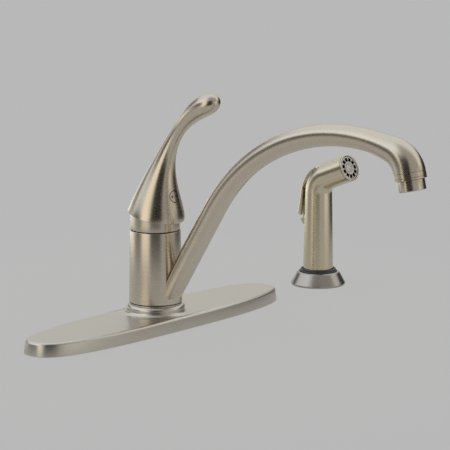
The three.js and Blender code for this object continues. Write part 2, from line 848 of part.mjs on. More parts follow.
function cartridgeBase() {
  const ports = portPlaces.map(({ x, y }) => disc(portRadius, baseBottom - 1, baseTop + 1, smallFacets, x, y));
  const pockets = portPlaces.map(({ x, y }) => (
    disc(portSealRadius + seatGap, baseBottom - 1, baseBottom + portSealThickness + 0.2, smallFacets, x, y)));
  return cut(disc(cartridgeRadius - 0.1, baseBottom, baseTop, mediumFacets), ...ports, ...pockets);
}

function portSeal({ x, y }) {
  const place = new THREE.Matrix4().makeTranslation(x, y, 0);
  return ring(portRadius, portSealRadius, baseBottom, baseBottom + portSealThickness - 0.1, smallFacets, place);
}

function fixedDisc() {
  const ports = portPlaces.map(({ x, y }) => (
    disc(portRadius - 0.3, fixedDiscBottom - 1, fixedDiscTop + 1, smallFacets, x * 0.85, y)));
  return cut(disc(cartridgeBore - seatGap, fixedDiscBottom, fixedDiscTop, mediumFacets), ...ports);
}

// The closed lever holds the sliding disc and its carrier back from the middle.
function movingDisc() {
  const mixingPocket = disc(movingDiscRadius - 2.6, movingDiscBottom - 1, movingDiscBottom + 1.5, mediumFacets,
    0, -ballForward);
  const disk = disc(movingDiscRadius, movingDiscBottom, movingDiscTop, mediumFacets, 0, -ballForward);
  return cut(disk, mixingPocket);
}

function discCarrier() {
  const socket = disc(spindleBallRadius + seatGap, ballHeight - spindleBallRadius - 0.9, carrierTop + 1, mediumFacets,
    0, -ballForward);
  const relief = ring(movingDiscRadius - 1.6, movingDiscRadius + 1, carrierBottom + 2.4, carrierTop + 1,
    mediumFacets, new THREE.Matrix4().makeTranslation(0, -ballForward, 0));
  return cut(disc(movingDiscRadius, carrierBottom, carrierTop, mediumFacets, 0, -ballForward), socket, relief);
}

function bonnetNut() {
  const bore = threadedNeckRadius + seatGap;
  const lipBottom = flangeTop + seatGap;
  const lipTop = lipBottom + nutLipThickness;
  const shell = revolved([
    [bore, postTop + 0.6],
    [nutRadius, postTop + 0.6],
    [nutRadius, lipTop - 0.6],
    [nutRadius - 0.6, lipTop],
    [cartridgeLipRadius + 1, lipTop],
    [cartridgeLipRadius + 1, lipBottom],
    [bore, lipBottom],
  ], fineFacets);
  const notches = around(nutNotches, new THREE.Matrix4(), (turned) => box(
    nutNotchWidth, nutNotchLength, nutLipThickness, 0, cartridgeLipRadius + nutNotchLength / 2 - 0.5,
    lipTop + nutLipThickness / 2 - nutNotchDepth, turned));
  return cut(shell, ...notches);
}

function bonnetCap() {
  const seat = flangeTop + 2 * seatGap + nutLipThickness;
  const shoulderTop = seat + capWall;
  const innerDome = capInnerRadius;
  const innerStart = THREE.MathUtils.radToDeg(Math.asin((shoulderTop - pivotHeight) / innerDome));
  return revolved([
    [capInnerRadius, capBottom],
    [capRadius - edgeBreak, capBottom],
    [capRadius, capBottom + edgeBreak],
    ...arc(0, pivotHeight, capRadius, 0, capOpening, 5),
    ...arc(0, pivotHeight, innerDome, capOpening, Math.max(innerStart, 0), 4),
    [capInnerRadius - capSeatWidth, shoulderTop],
    [capInnerRadius - capSeatWidth, seat],
    [capInnerRadius, seat],
  ], fineFacets);
}

// ---------------------------------------------------------------------------
// Lever guide, pin and spindle
// ---------------------------------------------------------------------------

const leverPinHole = leverPinRadius + seatGap;
const guideSlotHalfWidth = spindleRadius + seatGap;

function leverGuide() {
  const top = pivotHeight + guideTopRise;
  const body = revolved([
    [0, guideBottom],
    [cartridgeBore - seatGap, guideBottom],
    [cartridgeBore - seatGap, guideFlangeTop],
    [guideNeckRadius, guideFlangeTop],
    [guideNeckRadius, top - 0.8],
    [guideNeckRadius - 0.8, top],
    [0, top],
  ], mediumFacets);
  const slotLength = 2 * (spindleArm * sine(leverRestTilt) + spindleNeckRadius + 1);
  const slot = box(2 * guideSlotHalfWidth, slotLength, 40, 0, 0, pivotHeight);
  const pinHole = rod(
    new THREE.Vector3(-guideNeckRadius - 1, 0, pivotHeight),
    new THREE.Vector3(guideNeckRadius + 1, 0, pivotHeight),
    leverPinHole,
  );
  return cut(body, slot, pinHole);
}

function leverPin() {
  const half = guideNeckRadius - 0.4;
  return rod(new THREE.Vector3(-half, 0, pivotHeight), new THREE.Vector3(half, 0, pivotHeight), leverPinRadius);
}

const leverPlace = placedAlong(0, pivotHeight, 90 - leverRestTilt);

function leverSpindle() {
  const ball = arc(0, -spindleArm, spindleBallRadius, -90, 50, 5).slice(1);
  const stem = revolved([
    [0, -spindleArm - spindleBallRadius],
    ...ball,
    [spindleNeckRadius, -6],
    [spindleRadius, -4.2],
    [spindleRadius, spindleTop - 0.5],
    [spindleRadius - 0.5, spindleTop],
    [0, spindleTop],
  ], smallFacets, leverPlace);
  const pinHole = rod(
    new THREE.Vector3(-spindleRadius - 1, 0, pivotHeight),
    new THREE.Vector3(spindleRadius + 1, 0, pivotHeight),
    leverPinHole,
  );
  return cut(stem, pinHole);
}

// ---------------------------------------------------------------------------
// Lever handle
// ---------------------------------------------------------------------------

const handleLine = new THREE.CubicBezierCurve3(
  forwardUp(0, pivotHeight),
  forwardUp(handleRootPull * sine(leverRestTilt), pivotHeight + handleRootPull * cosine(leverRestTilt)),
  forwardUp(handleTipPullForward, pivotHeight + handleTipPullRise),
  forwardUp(handleReach, pivotHeight + handleRise),
);

// Half width and half depth of the handle by distance along its middle line.
// The dome shrinks to the waist, the end swells into a thick paddle and rounds off.
function handleSize(along, length) {
  const share = Math.min(along / handleWaistAlong, 1);
  const dome = (skirtOuterRadius - handleWaistRadius) * (1 - share ** 1.3) ** 2.25;
  const swell = ease(along, handleWaistAlong, handleKnobAlong);
  const endStart = handleKnobAlong - 1;
  const past = Math.max(0, (along - endStart) / (length - endStart));
  const rounding = Math.sqrt(Math.max(0, 1 - past ** 2.4));
  const waist = handleWaistRadius + dome;
  return {
    halfWidth: (waist + (handleKnobHalfWidth - handleWaistRadius) * swell) * rounding,
    halfDepth: (waist + (handleKnobHalfDepth - handleWaistRadius) * swell) * rounding,
  };
}

function handleOuter() {
  const length = handleLine.getLength();
  const facets = 24;
  const stations = [
    ...evenly(0, handleWaistAlong, 9),
    ...evenly(handleWaistAlong, handleKnobAlong, 5).slice(1),
    ...[0.35, 0.65, 0.85, 0.95, 0.993].map((share) => (
      THREE.MathUtils.lerp(handleKnobAlong, length, share))),
  ];
  const rings = stations.map((along) => {
    const u = handleLine.getUtoTmapping(0, along);
    const direction = handleLine.getTangent(u);
    const lift = new THREE.Vector3(0, direction.z, -direction.y);
    const setForward = handleFrontBulge * (1 - ease(along, 0, handleWaistAlong));
    const middle = handleLine.getPoint(u).addScaledVector(lift, -setForward);
    const { halfWidth, halfDepth } = handleSize(along, length);
    return Array.from({ length: facets }, (_, i) => {
      const angle = (360 * i) / facets;
      return middle.clone()
        .addScaledVector(new THREE.Vector3(1, 0, 0), halfWidth * sine(angle))
        .addScaledVector(lift, halfDepth * cosine(angle));
    });
  });
  return loft(rings);
}

const buttonHeight = pivotHeight + buttonRise;
const buttonFrontForward = 40;

function handleCasting(outer) {
  const flare = skirtInnerRadius + 0.5;
  const hollow = revolved([
    [0, -1],
    [flare, -1],
    [flare, 0],
    [skirtInnerRadius * cosine(9), skirtInnerRadius * sine(9)],
    ...arc(0, 0, skirtInnerRadius, 18, 90, 5),
  ], 24, leverPlace);
  const hub = revolved([
    [0, handleHubBottom],
    [handleHubRadius, handleHubBottom],
    [handleHubRadius, spindleTop + 1],
    [0, spindleTop + 1],
  ], mediumFacets, leverPlace);
  const spindleBore = revolved([
    [0, handleHubBottom - 1],
    [spindleRadius + seatGap, handleHubBottom - 1],
    [spindleRadius + seatGap, spindleTop + seatGap],
    [0, spindleTop + seatGap],
  ], smallFacets, leverPlace);
  const screwHole = rod(forwardUp(spindleAxisAtButton, buttonHeight), forwardUp(buttonFrontForward, buttonHeight),
    setScrewRadius + seatGap);
  const buttonPocket = rod(forwardUp(buttonBackForward - seatGap, buttonHeight),
    forwardUp(buttonFrontForward, buttonHeight), buttonRadius + seatGap, mediumFacets);
  return cut(joined(cut(outer, hollow), hub), spindleBore, screwHole, buttonPocket);
}

const spindleAxisAtButton = buttonRise * Math.tan(THREE.MathUtils.degToRad(leverRestTilt));
const buttonBackForward = 15.2;

function temperatureButton(outer) {
  const plug = rod(forwardUp(buttonBackForward, buttonHeight), forwardUp(buttonFrontForward, buttonHeight),
    buttonRadius, mediumFacets);
  const dotHoles = [-buttonDotOffset, buttonDotOffset].map((x) => rod(
    forwardUp(buttonBackForward + buttonThickness - buttonDotDepth - 0.4, buttonHeight, x),
    forwardUp(buttonFrontForward, buttonHeight, x),
    buttonDotRadius + 0.05,
    12,
  ));
  return cut(plug.intersect(outer), ...dotHoles);
}

function buttonDot(outer, x) {
  const start = buttonBackForward + buttonThickness - buttonDotDepth - 0.35;
  const dot = rod(forwardUp(start, buttonHeight, x), forwardUp(buttonFrontForward, buttonHeight, x),
    buttonDotRadius, 12);
  return dot.intersect(outer);
}

function setScrew() {
  const lean = setScrewRadius * Math.tan(THREE.MathUtils.degToRad(leverRestTilt));
  const start = spindleAxisAtButton + spindleRadius / cosine(leverRestTilt) + lean + seatGap;
  const body = rod(forwardUp(start, buttonHeight), forwardUp(start + setScrewLength, buttonHeight), setScrewRadius);
  const key = rod(forwardUp(start + setScrewLength - 1.4, buttonHeight),
    forwardUp(start + setScrewLength + 1, buttonHeight), 1, 6);
  return cut(body, key);
}

// ---------------------------------------------------------------------------
// Side spray: holder
// ---------------------------------------------------------------------------

const spray = new THREE.Group();
spray.position.set(sprayX, -sprayForward, 0);
faucet.add(spray);

const guideSleeveRadius = wandRadius + turnGap + 1.1;
const guideSeat = 9;

function sprayHolder() {
  return revolved([
    [holderRadius - holderWall - 0.6, 0],
    [holderRadius - 0.7, 0],
    [holderRadius - 0.1, 0.5],
    [holderRadius, 1.4],
    [holderRadius - 0.5, 2.4],
    [holderTopRadius + 0.6, holderHeight - 1.1],
    [holderTopRadius, holderHeight - 0.3],
    [holderTopRadius - 0.6, holderHeight],
    [holderMouthRadius, holderHeight - 0.1],
    [holderMouthRadius, guideSeat],
    [guideSleeveRadius + seatGap, guideSeat],
    [guideSleeveRadius + seatGap, guideSeat - 2],
    [holderMouthRadius + 0.2, guideSeat - 2],
    [holderRadius - holderWall - 2, holderGasketThickness + seatGap],
    [holderRadius - holderWall - 0.6, holderGasketThickness + seatGap],
  ], fineFacets);
}

function guideRing() {
  const bore = wandRadius + turnGap;
  const seatRadius = nippleRadius + 2.6;
  return revolved([
    [seatRadius, 0.4],
    [guideSleeveRadius, 0.4],
    [guideSleeveRadius, guideSeat + seatGap],
    [holderMouthRadius - seatGap, guideSeat + seatGap],
    [holderMouthRadius - seatGap, holderHeight + 0.3],
    [bore + 1, holderHeight + guideRingRise - 0.3],
    [bore + 0.4, holderHeight + guideRingRise],
    [bore, holderHeight + guideRingRise - 0.3],
    [bore, wandFoot - seatGap],
    [seatRadius, wandFoot - seatGap],
  ], fineFacets);
}

function holderGasket() {
  const outer = holderRadius - holderWall - 3 * seatGap;
  return ring(guideSleeveRadius + seatGap, outer, 0, holderGasketThickness, mediumFacets);
}

// ---------------------------------------------------------------------------
// Side spray: wand
// ---------------------------------------------------------------------------

const wandPath = makePath(0, wandFoot, 90, [
  { length: wandBendStart - wandFoot },
  { radius: wandBendRadius, toSlope: wandNeckSlope },
  { length: wandNeckLength },
]);
const bendCentre = { forward: wandBendRadius, up: wandBendStart };
const wandBack = wandBendRadius + wandTopRadius;

function wandRadiusAt(distance) {
  const [body, bend] = wandPath.lengths;
  const low = THREE.MathUtils.lerp(wandRadius, wandTopRadius, Math.min(distance / body, 1));
  return THREE.MathUtils.lerp(low, wandNeckRadius, ease(distance, body, body + bend));
}

// A point round the bend's centre, by radius and by angle from straight back.
function aroundBend(radius, angle, side = 0) {
  return forwardUp(bendCentre.forward - radius * cosine(angle), bendCentre.up + radius * sine(angle), side);
}

// Distance along the wand's back from where the bend starts to an angle round the bend.
function backTo(angle) {
  return THREE.MathUtils.degToRad(angle) * wandBack;
}

// A point off the wand's back by the distance along it, which is negative below the bend.
function offBack(off, along) {
  if (along < 0) return forwardUp(-wandTopRadius - off, wandBendStart + along);
  return aroundBend(wandBack + off, THREE.MathUtils.radToDeg(along / wandBack));
}

// A plate of constant width whose side view follows the wand's back.
function backStrip(halfWidth, from, to, innerAt, outerAt) {
  const stations = evenly(from, to, 9);
  const outline = [
    ...stations.map((along) => offBack(outerAt(along), along)),
    ...stations.toReversed().map((along) => offBack(innerAt(along), along)),
  ];
  const shape = new THREE.Shape(outline.map(({ y, z }) => new THREE.Vector2(-y, z)));
  const geometry = new THREE.ExtrudeGeometry(shape, { depth: 2 * halfWidth, bevelEnabled: false });
  geometry.translate(0, 0, -halfWidth);
  geometry.applyMatrix4(new THREE.Matrix4().makeBasis(
    new THREE.Vector3(0, -1, 0),
    new THREE.Vector3(0, 0, 1),
    new THREE.Vector3(-1, 0, 0),
  ));
  return solid(geometry);
}

const triggerHalfWidth = triggerWidth / 2;
const channelHalfWidth = triggerHalfWidth - triggerSideWall;
const triggerFrom = triggerFreeEnd - wandBendStart;
const triggerTo = backTo(triggerTopAngle);
const triggerPinAlong = backTo(triggerPinAngle);
const pinPlace = offBack(-triggerPinDepth, triggerPinAlong);

function triggerOuterAt(along) {
  return triggerStandoff * (1 - (along - triggerFrom) / (triggerTo - triggerFrom)) ** triggerLean;
}

function alongPin(halfLength, radius, facets = smallFacets) {
  const from = pinPlace.clone().setX(-halfLength);
  const to = pinPlace.clone().setX(halfLength);
  return rod(from, to, radius, facets);
}

// The slot beside the pin where both legs of the trigger's spring lie, down along the bend.
function springSlot() {
  const outward = new THREE.Vector3(0, cosine(triggerPinAngle), sine(triggerPinAngle));
  const upAlong = new THREE.Vector3(0, -sine(triggerPinAngle), cosine(triggerPinAngle));
  const place = new THREE.Matrix4().makeBasis(new THREE.Vector3(1, 0, 0), outward, upAlong);
  place.setPosition(pinPlace);
  return box(5.4, 7.8, springLegLength + 1, 0, 1.1, -(springLegLength + 1) / 2, place);
}

function bezelPlace() {
  const { forward, up, slope } = wandPath.at(wandPath.total);
  return placedAlong(forward, up, slope);
}

function wandShell() {
  const [body, bend] = wandPath.lengths;
  const stations = [
    0,
    1.5,
    body * 0.35,
    body * 0.7,
    ...evenly(body, body + bend, 5),
    body + bend + wandNeckLength / 3,
    wandPath.total,
  ];
  const outer = loft(ringsAlong(wandPath, stations, (distance) => (
    roundSection(wandRadiusAt(distance) - (distance === 0 ? 1.2 : 0), 26))));
  const stopBottom = stopLowEnd - wandBendStart;
  const stopRisePerLength = Math.tan(THREE.MathUtils.degToRad(stopSlope));
  const stop = backStrip(channelHalfWidth - turnGap, stopBottom, triggerFrom - stopGap,
    () => -wandTopRadius / 3,
    (along) => Math.min(stopStandoff, (along - stopBottom) * stopRisePerLength));
  const pocket = backStrip(triggerHalfWidth + seatGap, -1, triggerTo + 0.7,
    (along) => -THREE.MathUtils.lerp(pocketStartDepth, pocketDepth, ease(along, -1, backTo(35))),
    () => triggerStandoff);
  const pinBore = alongPin(triggerHalfWidth + 3, triggerPinRadius + seatGap);
  const springPocket = joined(alongPin(2.7, 3.3), springSlot());
  const waterwayStations = [
    nippleLength + 1,
    body,
    ...evenly(body, body + bend, 4).slice(1),
    wandPath.total - 6,
  ];
  const waterway = loft(ringsAlong(wandPath, waterwayStations, () => roundSection(wandBoreRadius, 10)));
  const chamber = revolved([
    [0, -9],
    [wandNeckRadius - bezelWidth - 1.2, -9],
    [wandNeckRadius - bezelWidth - 1.2, -bezelLength - facePlateThickness - seatGap],
    [wandNeckRadius - bezelWidth, -bezelLength - facePlateThickness - seatGap],
    [wandNeckRadius - bezelWidth, -bezelLength],
    [wandNeckRadius + 2, -bezelLength],
    [wandNeckRadius + 2, 2],
    [0, 2],
  ], mediumFacets, bezelPlace());
  const nippleSocket = disc(nippleRadius + seatGap, 0, wandFoot + nippleLength, mediumFacets);
  const plungerBore = rod(forwardUp(0, plungerRise), forwardUp(-wandTopRadius - 10, plungerRise),
    plungerRadius + seatGap);
  const block = cut(joined(cut(outer, pocket), stop), springPocket);
  return cut(block, pinBore, waterway, chamber, nippleSocket, plungerBore);
}

function nozzleBezel() {
  return revolved([
    [wandNeckRadius - bezelWidth, -bezelLength + seatGap],
    [wandNeckRadius, -bezelLength + seatGap],
    [wandNeckRadius, -0.5],
    [wandNeckRadius - 0.4, 0],
    [wandNeckRadius - bezelWidth, 0],
  ], mediumFacets, bezelPlace());
}

function facePlate() {
  const radius = wandNeckRadius - bezelWidth - seatGap;
  const low = -bezelLength - facePlateThickness;
  const high = -0.5;
  const plate = revolved([
    [0, low],
    [radius, low],
    [radius, high - 0.4],
    [radius - 0.4, high],
    [faceButtonRadius + 0.9, high],
    [faceButtonRadius + 0.5, high - faceButtonRecess],
    [faceButtonRadius + seatGap, high - faceButtonRecess],
    [faceButtonRadius + seatGap, high - 2.4],
    [0, high - 2.4],
  ], mediumFacets, bezelPlace());
  const holes = around(faceHoles, bezelPlace(), (turned) => box(
    faceHoleSize, faceHoleSize, 4 * facePlateThickness, 0, faceHoleRing, 0, turned));
  return cut(plate, ...holes);
}

function faceButton() {
  const high = -0.5;
  return revolved([
    [0, high - 2.1],
    [faceButtonRadius, high - 2.1],
    [faceButtonRadius, high - faceButtonRecess + 0.3],
    [faceButtonRadius - 0.5, high - 0.2],
    [faceButtonRadius * 0.5, high],
    [0, high + 0.1],
  ], smallFacets, bezelPlace());
}

function hoseNipple() {
  const bottom = 0.6;
  return revolved([
    [3, bottom],
    [nippleRadius, bottom],
    [nippleRadius, bottom + 1.6],
    [nippleRadius - 0.8, bottom + 2],
    [nippleRadius - 0.8, bottom + 3],
    [nippleRadius, bottom + 3.4],
    [nippleRadius, wandFoot + nippleLength - seatGap],
    [3, wandFoot + nippleLength - seatGap],
  ], smallFacets);
}

// ---------------------------------------------------------------------------
// Side spray: trigger, pin, spring and valve plunger
// ---------------------------------------------------------------------------

function triggerLever() {
  const innerAt = (along) => triggerOuterAt(along)
    - THREE.MathUtils.lerp(triggerSideDepth, triggerPinSideDepth, ease(along, backTo(10), backTo(45)));
  const strip = backStrip(triggerHalfWidth, triggerFrom, triggerTo, innerAt, triggerOuterAt);
  const channel = backStrip(channelHalfWidth, triggerFrom - overlap, triggerTo - triggerSideWall,
    (along) => innerAt(along) - 4, (along) => triggerOuterAt(Math.max(along, triggerFrom)) - triggerWeb);
  const toeCut = box(40, 10, 6, 0, 5, -3, new THREE.Matrix4()
    .makeTranslation(0, wandTopRadius + triggerStandoff - 1.8, triggerFreeEnd)
    .multiply(new THREE.Matrix4().makeRotationX(THREE.MathUtils.degToRad(40))));
  return cut(strip, channel, toeCut, alongPin(triggerHalfWidth + 2, triggerPinRadius + seatGap));
}

// A torsion spring round the pin: one leg under the lever, one leg on the wand.
class TorsionSpring extends THREE.Curve {
  getPoint(share, target = new THREE.Vector3()) {
    const coilRadius = 1.6;
    const halfSpan = 1.7;
    const sweep = 2 * Math.PI * springTurns;
    const coilLength = sweep * coilRadius;
    const total = coilLength + 2 * springLegLength;
    const distance = share * total - springLegLength;
    const turn = THREE.MathUtils.clamp(distance / coilRadius, 0, sweep);
    const beyond = distance - turn * coilRadius;
    const angle = turn + springStartAngle;
    const x = THREE.MathUtils.lerp(-halfSpan, halfSpan, turn / sweep);
    const y = coilRadius * Math.cos(angle) - beyond * Math.sin(angle);
    const z = coilRadius * Math.sin(angle) + beyond * Math.cos(angle);
    return target.set(x, pinPlace.y + y, pinPlace.z + z);
  }
}

const springStartAngle = THREE.MathUtils.degToRad(triggerPinAngle - springLegDip);

function triggerSpring() {
  const section = new THREE.Shape();
  section.absarc(0, 0, springWireRadius, 0, 2 * Math.PI, false);
  const geometry = new THREE.ExtrudeGeometry(section, {
    steps: 50,
    curveSegments: 3,
    extrudePath: new TorsionSpring(),
  });
  return solid(geometry);
}

function valvePlunger() {
  const outerEnd = wandTopRadius + triggerOuterAt(plungerRise - wandBendStart) - triggerWeb - seatGap;
  return joined(
    rod(forwardUp(-5, plungerRise), forwardUp(-outerEnd + 0.6, plungerRise), plungerRadius),
    rod(forwardUp(-outerEnd + 0.7, plungerRise), forwardUp(-outerEnd, plungerRise), plungerRadius - 0.5),
  );
}

// ---------------------------------------------------------------------------
// Assembly
// ---------------------------------------------------------------------------

addPiece('deck_plate', deckPlate(), brushedPlate);
addPiece('plate_gasket', plateGasket(), blackRubber);
addPiece('valve_body', valveBody(), brass);
addPiece('diverter_valve', diverter(), whitePlastic);
addPiece('spout_seal_lower', sealRing(sealMiddleRadius, lowerSealHeight), blackRubber);
addPiece('spout_seal_upper', sealRing(sealMiddleRadius, upperSealHeight), blackRubber);
addPiece('glide_ring_lower', lowerGlideRing(), blackPlastic);
addPiece('glide_ring_upper', upperGlideRing(), blackPlastic);

addPiece('spout', spout(), brushedNickel);
addPiece('aerator_housing', aeratorHousing(), brushedNickel);
addPiece('aerator_washer', aeratorWasher(), blackRubber);
addPiece('aerator_insert', aeratorInsert(), greyPlastic);

addPiece('cartridge_base', cartridgeBase(), whitePlastic);
for (const place of portPlaces) {
  addPiece(`cartridge_seal_${place.name}`, portSeal(place), blackRubber);
}
addPiece('cartridge_housing', cartridgeHousing(), whitePlastic);
addPiece('fixed_ceramic_disc', fixedDisc(), ceramic);
addPiece('moving_ceramic_disc', movingDisc(), ceramic);
addPiece('disc_carrier', discCarrier(), greyPlastic);
addPiece('bonnet_nut', bonnetNut(), brass);
addPiece('bonnet_cap', bonnetCap(), brushedNickel);
addPiece('lever_guide', leverGuide(), greyPlastic);
addPiece('lever_pin', leverPin(), steel);
addPiece('lever_spindle', leverSpindle(), brass);

const handleBody = handleOuter();
addPiece('lever_handle', handleCasting(handleBody), brushedNickel);
addPiece('handle_set_screw', setScrew(), steel);
addPiece('temperature_button', temperatureButton(handleBody), brushedNickel);
addPiece('hot_dot', buttonDot(handleBody, -buttonDotOffset), redPaint);
addPiece('cold_dot', buttonDot(handleBody, buttonDotOffset), bluePaint);

addPiece('spray_holder', sprayHolder(), brushedNickel, spray);
addPiece('spray_guide_ring', guideRing(), blackPlastic, spray);
addPiece('spray_holder_gasket', holderGasket(), blackRubber, spray);
addPiece('spray_wand', wandShell(), brushedNickel, spray);
addPiece('spray_bezel', nozzleBezel(), brushedNickel, spray);
addPiece('spray_face', facePlate(), palePlastic, spray);
addPiece('spray_face_button', faceButton(), palePlastic, spray);
addPiece('spray_hose_nipple', hoseNipple(), brass, spray);
addPiece('spray_trigger', triggerLever(), brushedNickel, spray);
addPiece('trigger_pin', alongPin(triggerHalfWidth - 0.2, triggerPinRadius), steel, spray);
addPiece('trigger_spring', triggerSpring(), steel, spray);
addPiece('valve_plunger', valvePlunger(), whitePlastic, spray);

export default faucet;
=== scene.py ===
"""Single-lever kitchen faucet with a deck plate and a side spray, dressed over its CAD frame.

Metres, +Z up, the origin on the deck on the faucet body's axis. The spout, the lever and the
spray nozzle face -Y, and the deck plate lies along X.
"""

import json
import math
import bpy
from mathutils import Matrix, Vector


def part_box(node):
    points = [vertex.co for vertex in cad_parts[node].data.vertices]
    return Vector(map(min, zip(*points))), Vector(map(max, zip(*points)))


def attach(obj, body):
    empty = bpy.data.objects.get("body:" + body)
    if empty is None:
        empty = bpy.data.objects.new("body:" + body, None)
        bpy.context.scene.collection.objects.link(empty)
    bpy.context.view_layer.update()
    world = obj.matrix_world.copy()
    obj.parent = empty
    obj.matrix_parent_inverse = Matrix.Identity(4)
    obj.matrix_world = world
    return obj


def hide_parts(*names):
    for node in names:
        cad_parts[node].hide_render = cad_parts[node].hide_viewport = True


bl_info = {
    "name": "Side spray kitchen faucet",
    "version": (1, 0, 0),
    "blender": (4, 5, 0),
    "location": "3D View > Sidebar > Faucet",
    "description": "Brushed nickel kitchen faucet with a deck plate, a lever and a side spray",
    "category": "Add Mesh",
}

import bmesh
import bpy
import numpy as np
from mathutils import Matrix, Vector

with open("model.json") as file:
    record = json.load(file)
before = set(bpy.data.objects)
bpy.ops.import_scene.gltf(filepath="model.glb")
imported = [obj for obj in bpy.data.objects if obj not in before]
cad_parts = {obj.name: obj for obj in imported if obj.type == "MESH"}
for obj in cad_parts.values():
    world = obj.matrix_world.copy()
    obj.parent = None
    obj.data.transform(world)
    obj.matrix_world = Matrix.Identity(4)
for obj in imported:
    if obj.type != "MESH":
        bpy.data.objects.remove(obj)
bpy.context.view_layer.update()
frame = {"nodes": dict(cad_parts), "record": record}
NODES = frame["nodes"]

PLATE_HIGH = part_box("deck_plate")[1]
SLEEVE_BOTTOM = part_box("spout")[0].z
CAP_LOW, CAP_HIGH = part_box("bonnet_cap")
HOLDER_LOW, HOLDER_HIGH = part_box("spray_holder")
SPRAY_X = (HOLDER_LOW.x + HOLDER_HIGH.x) / 2
SPRAY_Y = (HOLDER_LOW.y + HOLDER_HIGH.y) / 2
SPRAY_PLACE = Matrix.Translation((SPRAY_X, SPRAY_Y, 0))

# SEAT_GAP lies between a piece and its seat, SLIT between the sleeve and the bonnet cap, and
# POST_GAP between the brass post and the sleeve. FACE_TOP is the spray face's front, below its rim.
SEAT_GAP = 0.0003
SLIT = 0.0006
POST_GAP = 0.0004
AERATOR_SHOULDER = 0.0009
AERATOR_WALL = 0.0016
AERATOR_LIP = 0.0012
TRIGGER_PIN_BORE = 0.0012
FACE_TOP = -0.0005


# ---------------------------------------------------------------------------
# Numbers
# ---------------------------------------------------------------------------

def lerp(low, high, share):
    return low + (high - low) * share


def ease(value, low, high):
    """0 to 1 with level ends as value goes from low to high."""
    share = min(max((value - low) / (high - low), 0.0), 1.0)
    return share * share * (3 - 2 * share)


def sine(angle):
    return math.sin(math.radians(angle))


def cosine(angle):
    return math.cos(math.radians(angle))


def even(low, high, count):
    """Count equal steps from low to high, both ends included."""
    return [lerp(low, high, i / count) for i in range(count + 1)]


def middle_point(forward, up):
    """A point by its distance forward of the body's axis and its height."""
    return Vector((0.0, -forward, up))


# ---------------------------------------------------------------------------
# Profiles, paths and rings
# ---------------------------------------------------------------------------

def arc(radius, start, end, count, centre=(0.0, 0.0)):
    """Points of an arc as (r, z), angles in degrees from the outward direction."""
    return [
        (centre[0] + radius * cosine(angle), centre[1] + radius * sine(angle))
        for angle in even(start, end, count)
    ]


def softened(corners, count=5):
    """A closed outline of (r, z, round) whose corners are rounded by the given radii."""
    outline = []
    for i, (r, z, *rounding) in enumerate(corners):
        corner = Vector((r, z))
        radius = rounding[0] if rounding else 0.0
        before = Vector(corners[i - 1][:2]) - corner
        after = Vector(corners[(i + 1) % len(corners)][:2]) - corner
        half = before.angle(after) / 2
        if radius <= 0 or half > math.radians(89.5):
            outline.append((r, z))
            continue
        back = min(radius / math.tan(half), 0.49 * before.length, 0.49 * after.length)
        radius = back * math.tan(half)
        middle = (before.normalized() + after.normalized()).normalized()
        centre = corner + middle * (radius / math.sin(half))
        first = (corner + before.normalized() * back - centre).normalized()
        last = (corner + after.normalized() * back - centre).normalized()
        for share in even(0.0, 1.0, count):
            outline.append(tuple(centre + first.slerp(last, share) * radius))
    return outline


class MiddlePath:
    """Straights and arcs in the body's middle plane, each tangent to the last."""

    def __init__(self, forward, up, slope, stretches):
        self.runs = []
        start = (forward, up, slope)
        for stretch in stretches:
            radius = stretch.get("radius")
            if radius:
                length = math.radians(start[2] - stretch["to_slope"]) * radius
            else:
                length = stretch["length"]
            self.runs.append((start, length, radius))
            start = self.on_run(start, radius, length)
        self.lengths = [length for _, length, _ in self.runs]
        self.total = sum(self.lengths)

    @staticmethod
    def on_run(start, radius, distance):
        forward, up, slope = start
        if not radius:
            return forward + distance * cosine(slope), up + distance * sine(slope), slope
        turned_slope = slope - math.degrees(distance / radius)
        return (
            forward + radius * (sine(slope) - sine(turned_slope)),
            up + radius * (cosine(turned_slope) - cosine(slope)),
            turned_slope,
        )

    def at(self, distance):
        for start, length, radius in self.runs[:-1]:
            if distance <= length:
                return self.on_run(start, radius, distance)
            distance -= length
        start, _, radius = self.runs[-1]
        return self.on_run(start, radius, distance)

    def end_place(self):
        """Where a shape drawn along +Z stands on the path's end and points out of it."""
        return along_slope(*self.at(self.total))

    def rings(self, distances, section):
        """Rings across the path. The section gives (side, lift) pairs at a distance."""
        rings = []
        for distance in distances:
            forward, up, slope = self.at(distance)
            side, lift = np.asarray(section(distance), float).T
            rings.append(np.column_stack((
                side,
                -(forward - lift * sine(slope)),
                up + lift * cosine(slope),
            )))
        return rings


def along_slope(forward, up, slope):
    """Turns a shape drawn along +Z to point along a slope of the middle plane."""
    tilt = Matrix.Rotation(math.radians(90 - slope), 4, "X")
    return Matrix.Translation(middle_point(forward, up)) @ tilt


def circle(radius, count):
    return [
        (radius * sine(angle), radius * cosine(angle))
        for angle in (360 * i / count for i in range(count))
    ]


def cylinder(radius, low, high):
    """The closed outline of a plain cylinder, as (r, z)."""
    return [(0, low), (radius, low), (radius, high), (0, high)]


# ---------------------------------------------------------------------------
# Meshes
# ---------------------------------------------------------------------------

def tidy_mesh(mesh, sharp=32):
    """Welds doubles, turns the faces outward and shades smooth up to the sharp angle."""
    shape = bmesh.new()
    shape.from_mesh(mesh)
    bmesh.ops.remove_doubles(shape, verts=shape.verts, dist=1e-7)
    bmesh.ops.dissolve_degenerate(shape, edges=shape.edges, dist=1e-8)
    bmesh.ops.recalc_face_normals(shape, faces=shape.faces)
    shape.to_mesh(mesh)
    shape.free()
    mesh.polygons.foreach_set("use_smooth", [True] * len(mesh.polygons))
    mesh.set_sharp_from_angle(angle=math.radians(sharp))
    mesh.update()
    return mesh


